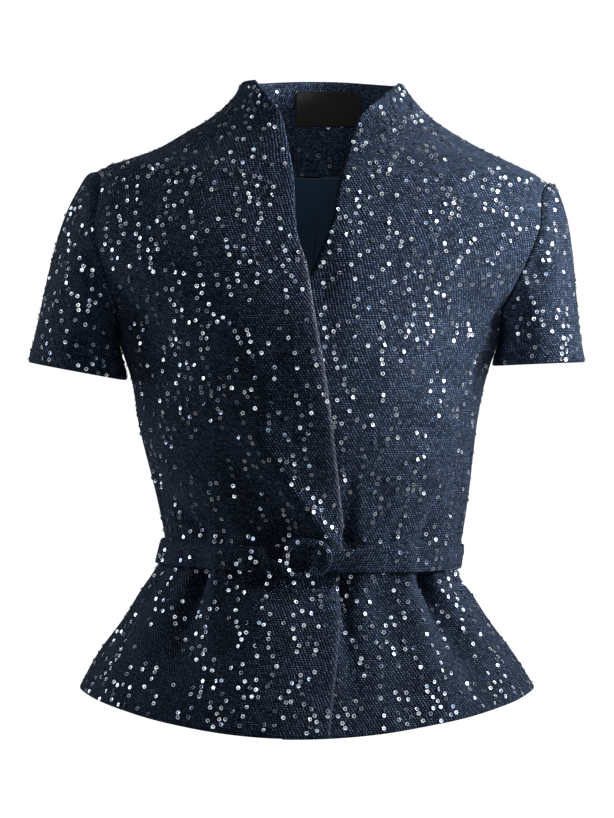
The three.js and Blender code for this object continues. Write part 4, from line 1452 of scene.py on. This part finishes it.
def label_material():
    name = "woven_label_black"
    if name in bpy.data.materials:
        return bpy.data.materials[name]
    material, tree, shader = new_material(name)
    rib = add_node(
        tree, "ShaderNodeTexWave", bands_direction="Y", Scale=1.1, Distortion=0.4,
        Vector=cloth_coordinates(tree)).outputs["Fac"]
    dark, light = (Vector(settings().label_colour) * shade for shade in LABEL_SHADE)
    fill(
        tree, shader, Base_Color=mix(tree, rib, dark, light),
        Normal=relief(tree, rib, *LABEL_RELIEF), Roughness=0.7, Specular_IOR_Level=0.2)
    return material


def sequin_material():
    name = "silver_sequin"
    if name in bpy.data.materials:
        return bpy.data.materials[name]
    finish = settings()
    material, tree, shader = new_material(name)
    shine = mark_of(tree, "shine")
    tint = mix(tree, shine, finish.sequin_cool, finish.sequin_bright)
    edge = add_node(
        tree, "ShaderNodeMapRange", interpolation_type="SMOOTHSTEP", Value=mark_of(tree, "rim"),
        From_Min=SEQUIN_RIM[0], From_Max=SEQUIN_RIM[1]).outputs["Result"]
    # Painted highlight: each sequin's colour is full along the edge of its section marked rim and
    # falls to 0.4 of it across the rest
    rim_highlight = maths(tree, "MULTIPLY_ADD", edge, *SEQUIN_RIM_HIGHLIGHT)
    rough = maths(tree, "MULTIPLY_ADD", shine, *SEQUIN_ROUGH)
    fill(
        tree, shader, Base_Color=mix(tree, 1.0, tint, rim_highlight, blend_type="MULTIPLY"),
        Roughness=maths(tree, "MULTIPLY_ADD", edge, SEQUIN_RIM_ROUGH, rough), Metallic=1.0)
    return material


def size_setting(name, description, default, precision=2):
    return FloatProperty(
        name=name, description=description, default=default, unit="LENGTH", precision=precision)


def colour_setting(name, description, default):
    return FloatVectorProperty(
        name=name, description=description, default=default, subtype="COLOR")


class JacketSettings(bpy.types.PropertyGroup):
    """Sizes and finishes of the jacket that a user may change."""

    belt_width: size_setting("Belt width", "Width of the belt", 0.020)
    buckle_width: size_setting("Buckle width", "Outer width of the buckle's ring", 0.040)
    buckle_height: size_setting("Buckle height", "Outer height of the buckle's ring", 0.034)
    buckle_rim: size_setting("Buckle rim", "Width of the ring's padded rim", 0.0070)
    label_width: size_setting("Label width", "Width of the bare neck label", 0.060)
    label_height: size_setting("Label height", "Height of the bare neck label", 0.025)
    weave_across: size_setting(
        "Weave repeat across", "Spacing of the threads across the cloth", 0.0026, 5)
    weave_down: size_setting(
        "Weave repeat down", "Spacing of the rows down the cloth", 0.00195, 5)
    sequin_radius: size_setting("Sequin radius", "Outer radius of a sequin", 0.00168, 5)
    sequin_hole: size_setting("Sequin hole", "Radius of the hole in a sequin", 0.00036, 5)
    sequin_thickness: size_setting("Sequin thickness", "Half-thickness of a sequin", 0.00006, 5)
    sequin_cup: FloatProperty(
        name="Sequin cup", description="How far a sequin's rim is cupped", default=-0.10,
        subtype="ANGLE")
    sequin_density: FloatProperty(
        name="Sequins per square cm", description="How thickly sequins are sewn", default=0.78)
    sequin_seed: IntProperty(
        name="Sequin seed", description="Seed of the sequins' scatter", default=11)
    thread_dark: colour_setting("Dark thread", "Darker thread of the tweed", (0.018, 0.032, 0.068))
    thread_light: colour_setting("Light thread", "Lighter thread of the tweed", (0.175, 0.255, 0.440))
    # Colour of the painted shade in the hollows between the thread ends
    weave_gap_shade: colour_setting("Weave gap", "The dark between the threads", (0.0065, 0.011, 0.024))
    # Colour of the painted highlight along the lap's edge
    lap_highlight_colour: colour_setting("Lap highlight", "The lighter line along the lap's edge", (0.13, 0.14, 0.18))
    lining_colour: colour_setting("Lining", "Colour of the satin lining", (0.027, 0.060, 0.116))
    label_colour: colour_setting("Label", "Colour of the bare label", (0.018, 0.018, 0.0186))
    sequin_cool: colour_setting("Sequin, cool", "Cooler tone of the sequins", (0.20, 0.27, 0.40))
    sequin_bright: colour_setting("Sequin, bright", "Brighter tone of the sequins", (0.86, 0.92, 1.0))


def settings():
    return bpy.context.scene.jacket_settings


class JACKET_OT_fronts(bpy.types.Operator):
    """The two fronts with the grown-on collar, the wearer's right one lapping over"""

    bl_idname = "jacket.fronts"
    bl_label = "Fronts"

    def execute(self, context):
        heights = body_heights()
        over, under = body_edge(OVER_EDGE, heights), body_edge(UNDER_EDGE, heights)
        side = side_of_front(heights)
        add_tweed("front_right", make_panel(
            "front_right", body_point, heights, -side, over, RIGHT_WIDTH, -FRONT_GRAIN, "over",
            ("right", "top")))
        add_tweed("front_left", make_panel(
            "front_left", body_point, heights, under, side, LEFT_WIDTH, FRONT_GRAIN, "under",
            ("left", "top")))
        return {"FINISHED"}


class JACKET_OT_back(bpy.types.Operator):
    """The back, cut in one"""

    bl_idname = "jacket.back"
    bl_label = "Back"

    def execute(self, context):
        heights = body_heights()
        side = side_of_back(heights)
        add_tweed("back", make_panel(
            "back", body_point, heights, side, 2 * np.pi - side, BACK_WIDTH, np.pi,
            turned=("top",)))
        return {"FINISHED"}


class JACKET_OT_sleeves(bpy.types.Operator):
    """The two short set-in sleeves with their eased heads"""

    bl_idname = "jacket.sleeves"
    bl_label = "Sleeves"

    def execute(self, context):
        for name in SLEEVES:
            outward_faces(add_tweed(name, make_sleeve(name), ring=True))
        return {"FINISHED"}


class JACKET_OT_peplum(bpy.types.Operator):
    """The flared peplum below the waist seam: two fronts and a back"""

    bl_idname = "jacket.peplum"
    bl_label = "Peplum"

    def execute(self, context):
        drops = blend(SEAM_GAP / 2 / FALL, 1, shares(FALL + HEM_DIP / 2, FINE_STEP))
        over, under = peplum_edge(OVER_EDGE, drops), peplum_edge(UNDER_EDGE, drops)
        side, back = SIDE - SEAM_TURN + 0 * drops, SIDE + SEAM_TURN + 0 * drops
        panels = {
            "peplum_front_right": (
                -side, over, PEPLUM_WIDTH, -FRONT_GRAIN, "over", ("right", "bottom")),
            "peplum_front_left": (
                under, side, PEPLUM_WIDTH, FRONT_GRAIN, "under", ("left", "bottom")),
            "peplum_back": (
                back, 4 * SIDE - back, PEPLUM_BACK_WIDTH, np.pi, None, ("bottom",)),
        }
        for name, shape in panels.items():
            add_tweed(name, make_panel(name, peplum_point, drops, *shape))
        return {"FINISHED"}


class JACKET_OT_belt(bpy.types.Operator):
    """The covered belt, wound once round the waist, and its padded ring buckle"""

    bl_idname = "jacket.belt"
    bl_label = "Belt and buckle"

    def execute(self, context):
        strap = wall_piece("belt_strap_cloth", *make_belt(), tweed_material(), ring=True)
        strap_panel()
        declare(outward_faces(strap), "belt_strap")
        ring = ring_piece("belt_buckle_cloth", *make_buckle(), tweed_material())
        declare(ring, "belt_buckle")
        return {"FINISHED"}


class JACKET_OT_inside(bpy.types.Operator):
    """The inside of the back that shows: neck facing, satin lining and bare label"""

    bl_idname = "jacket.inside"
    bl_label = "Facing, lining and label"

    def execute(self, context):
        facing = make_facing()
        PANELS["back_neck_facing"] = Panel(
            facing.inner, facing.outer, -facing.normals, facing.across, facing.down)
        add_tweed("back_neck_facing", facing, rests_on=["back_cloth"])
        add_cloth("back_lining", make_lining(), lining_material(), "lining", "hung", ["back_cloth"])
        add_cloth(
            "neck_label", make_label(), label_material(), "label", "laid", ["back_neck_facing_cloth"])
        return {"FINISHED"}


class JACKET_OT_sequins(bpy.types.Operator):
    """The silver sequins sewn on every tweed piece"""

    bl_idname = "jacket.sequins"
    bl_label = "Sequins"

    def execute(self, context):
        material = sequin_material()
        density = settings().sequin_density
        rng = np.random.default_rng(settings().sequin_seed)
        for name, panel in PANELS.items():
            share = BELT_DENSITY if name == "belt_strap" else 1
            spots, facings = sequin_places(panel, density * share, rng)
            sew_sequins(f"sequins_{name}", spots, facings, material)
        sew_sequins("sequins_belt_buckle", *buckle_sequins(), material)
        return {"FINISHED"}


def lit_pieces(kind):
    """The pieces that a light of this kind reaches, as a collection."""
    found = bpy.data.collections.new(f"lit_{kind}")
    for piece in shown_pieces():
        inside = any(part in piece.name for part in ("facing", "lining", "label"))
        if inside if kind == "inside" else piece.name.startswith("sequins_"):
            found.objects.link(piece)
    return found


def add_light(name, location, target, size, spread, power, colour, kind):
    light = bpy.data.lights.new(name, "AREA")
    light.shape = "RECTANGLE"
    light.size, light.size_y = size
    light.energy = power
    light.color = colour
    light.spread = math.radians(spread)
    lamp = show(name, light)
    lamp.location = location
    lamp.rotation_euler = (Vector(target) - Vector(location)).to_track_quat("-Z", "Y").to_euler()
    if kind != "all":
        lamp.light_linking.receiver_collection = lit_pieces(kind)


WHITE, WARM, COOL = (1.0, 1.0, 1.0), (1.0, 0.99, 0.97), (0.95, 0.97, 1.0)
# Lights: place, aim, size, spread in degrees, power, colour and what they light. The seven cards
# only show in the sequins, as white boards do beside a camera, and the neck light only reaches
# the inside of the back.
LIGHTS = (
    ("key_light", (2.3, -0.2, 1.05), (0.05, 0, -0.22), (1.0, 1.2), 180, 66.0, WARM, "all"),
    ("shoulder_light", (1.5, -0.42, 0.15), (0.12, -0.05, -0.06), (0.4, 0.4), 26, 0.85, WARM, "all"),
    ("left_sleeve_light", (0.75, -2.2, 0.1), (0.166, -0.04, -0.16), (0.15, 0.15), 7, 0.035, WARM,
     "all"),
    ("right_sleeve_light", (-0.75, -2.2, 0.1), (-0.172, -0.04, -0.13), (0.15, 0.15), 7, 0.012, COOL,
     "all"),
    ("left_light", (-2.3, 0.4, 0.45), (-0.1, 0, -0.25), (0.6, 1.3), 180, 14.5, COOL, "all"),
    ("front_light", (0.2, -2.9, 0.9), (0, 0, -0.2), (1.0, 0.8), 180, 0.4, WHITE, "all"),
    ("neck_light", (0.1, -1.6, 0.35), (0.02, 0.06, -0.02), (0.8, 0.8), 180, 7.7, WHITE, "inside"),
    ("right_card", (2.1, -1.6, 0.3), (0, 0, -0.25), (1.4, 1.6), 180, 22.0, WHITE, "sequins"),
    ("far_right_card", (2.3, 0.9, 0.3), (0, 0, -0.25), (1.2, 1.8), 180, 10.0, WHITE, "sequins"),
    ("left_card", (-2.4, -0.3, 0.3), (0, 0, -0.25), (0.6, 1.0), 180, 16.0, WHITE, "sequins"),
    ("glint_card", (-1.15, -2.2, 0.25), (0, 0, -0.25), (0.8, 0.7), 180, 13.0, WHITE, "sequins"),
    ("low_card", (0.05, -1.5, -0.4), (0, 0, -0.05), (0.7, 0.5), 180, 2.8, WHITE, "sequins"),
    ("neck_card", (0.0, -1.3, 0.85), (0, 0, -0.05), (0.7, 0.6), 180, 4.0, WHITE, "sequins"),
    ("top_card", (-0.8, -1.6, 1.9), (0, 0, -0.25), (0.6, 0.6), 180, 9.0, WHITE, "sequins"),
)


class JACKET_OT_stage(bpy.types.Operator):
    """Pale floor, soft lights and the camera"""

    bl_idname = "jacket.stage"
    bl_label = "Stage"

    def execute(self, context):
        scene = context.scene
        floor_mesh = bpy.data.meshes.new("studio_floor")
        shape = bmesh.new()
        bmesh.ops.create_circle(shape, cap_ends=True, segments=96, radius=FLOOR_RADIUS)
        shape.to_mesh(floor_mesh)
        shape.free()
        floor = show("studio_floor", floor_mesh)
        floor.location.z = FLOOR_Z
        material, tree, shader = new_material("studio_pale")
        fill(
            tree, shader, Base_Color=(FLOOR_GREY, FLOOR_GREY, FLOOR_GREY, 1), Roughness=0.9,
            Emission_Color=(1, 1, 1, 1),
            Emission_Strength=maths(tree, "MULTIPLY", seen_by_camera(tree), FLOOR_GLOW))
        floor_mesh.materials.append(material)
        floor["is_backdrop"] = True
        for light in LIGHTS:
            add_light(*light)
        world = bpy.data.worlds.new("studio_air")
        scene.world = world
        world.use_nodes = True
        tree = world.node_tree
        strength = maths(tree, "MULTIPLY_ADD", seen_by_camera(tree), AIR_SEEN, AIR_LIGHT)
        fill(tree, tree.nodes["Background"], Color=(1.0, 1.0, 1.0, 1), Strength=strength)
        scene.view_settings.view_transform = "Standard"
        camera_data = bpy.data.cameras.new("photo_camera")
        camera_data.sensor_fit = "VERTICAL"
        camera_data.sensor_width = camera_data.sensor_height = SENSOR
        camera_data.lens = SENSOR * CAMERA_DISTANCE / (PHOTO_SIZE[1] * PHOTO_SCALE)
        camera_data.shift_y = PHOTO_AXIS_ROW / PHOTO_SIZE[1] - 0.5
        camera_data.clip_end = 60
        camera = show("photo_camera", camera_data)
        camera.location = (0, -CAMERA_DISTANCE, CAMERA_HEIGHT)
        camera.rotation_euler = (math.radians(90), 0, 0)
        scene.camera = camera
        return {"FINISHED"}


class JACKET_PT_panel(bpy.types.Panel):
    """Lists the jacket's settings and the operators that build it"""

    bl_idname = "JACKET_PT_panel"
    bl_label = "Wrap jacket"
    bl_space_type = "VIEW_3D"
    bl_region_type = "UI"
    bl_category = "Jacket"

    def draw(self, context):
        column = self.layout.column()
        for name in JacketSettings.__annotations__:
            column.prop(context.scene.jacket_settings, name)
        for operator in OPERATORS:
            column.operator(operator.bl_idname)


OPERATORS = (
    JACKET_OT_fronts, JACKET_OT_back, JACKET_OT_sleeves, JACKET_OT_peplum, JACKET_OT_belt,
    JACKET_OT_inside, JACKET_OT_sequins, JACKET_OT_stage,
)
CLASSES = (JacketSettings, *OPERATORS, JACKET_PT_panel)


def register():
    for item in CLASSES:
        bpy.utils.register_class(item)
    bpy.types.Scene.jacket_settings = PointerProperty(type=JacketSettings)


def unregister():
    del bpy.types.Scene.jacket_settings
    for item in reversed(CLASSES):
        bpy.utils.unregister_class(item)


def main():
    register()
    for operator in OPERATORS:
        family, name = operator.bl_idname.split(".")
        getattr(getattr(bpy.ops, family), name)()


if __name__ == "__main__":
    main()
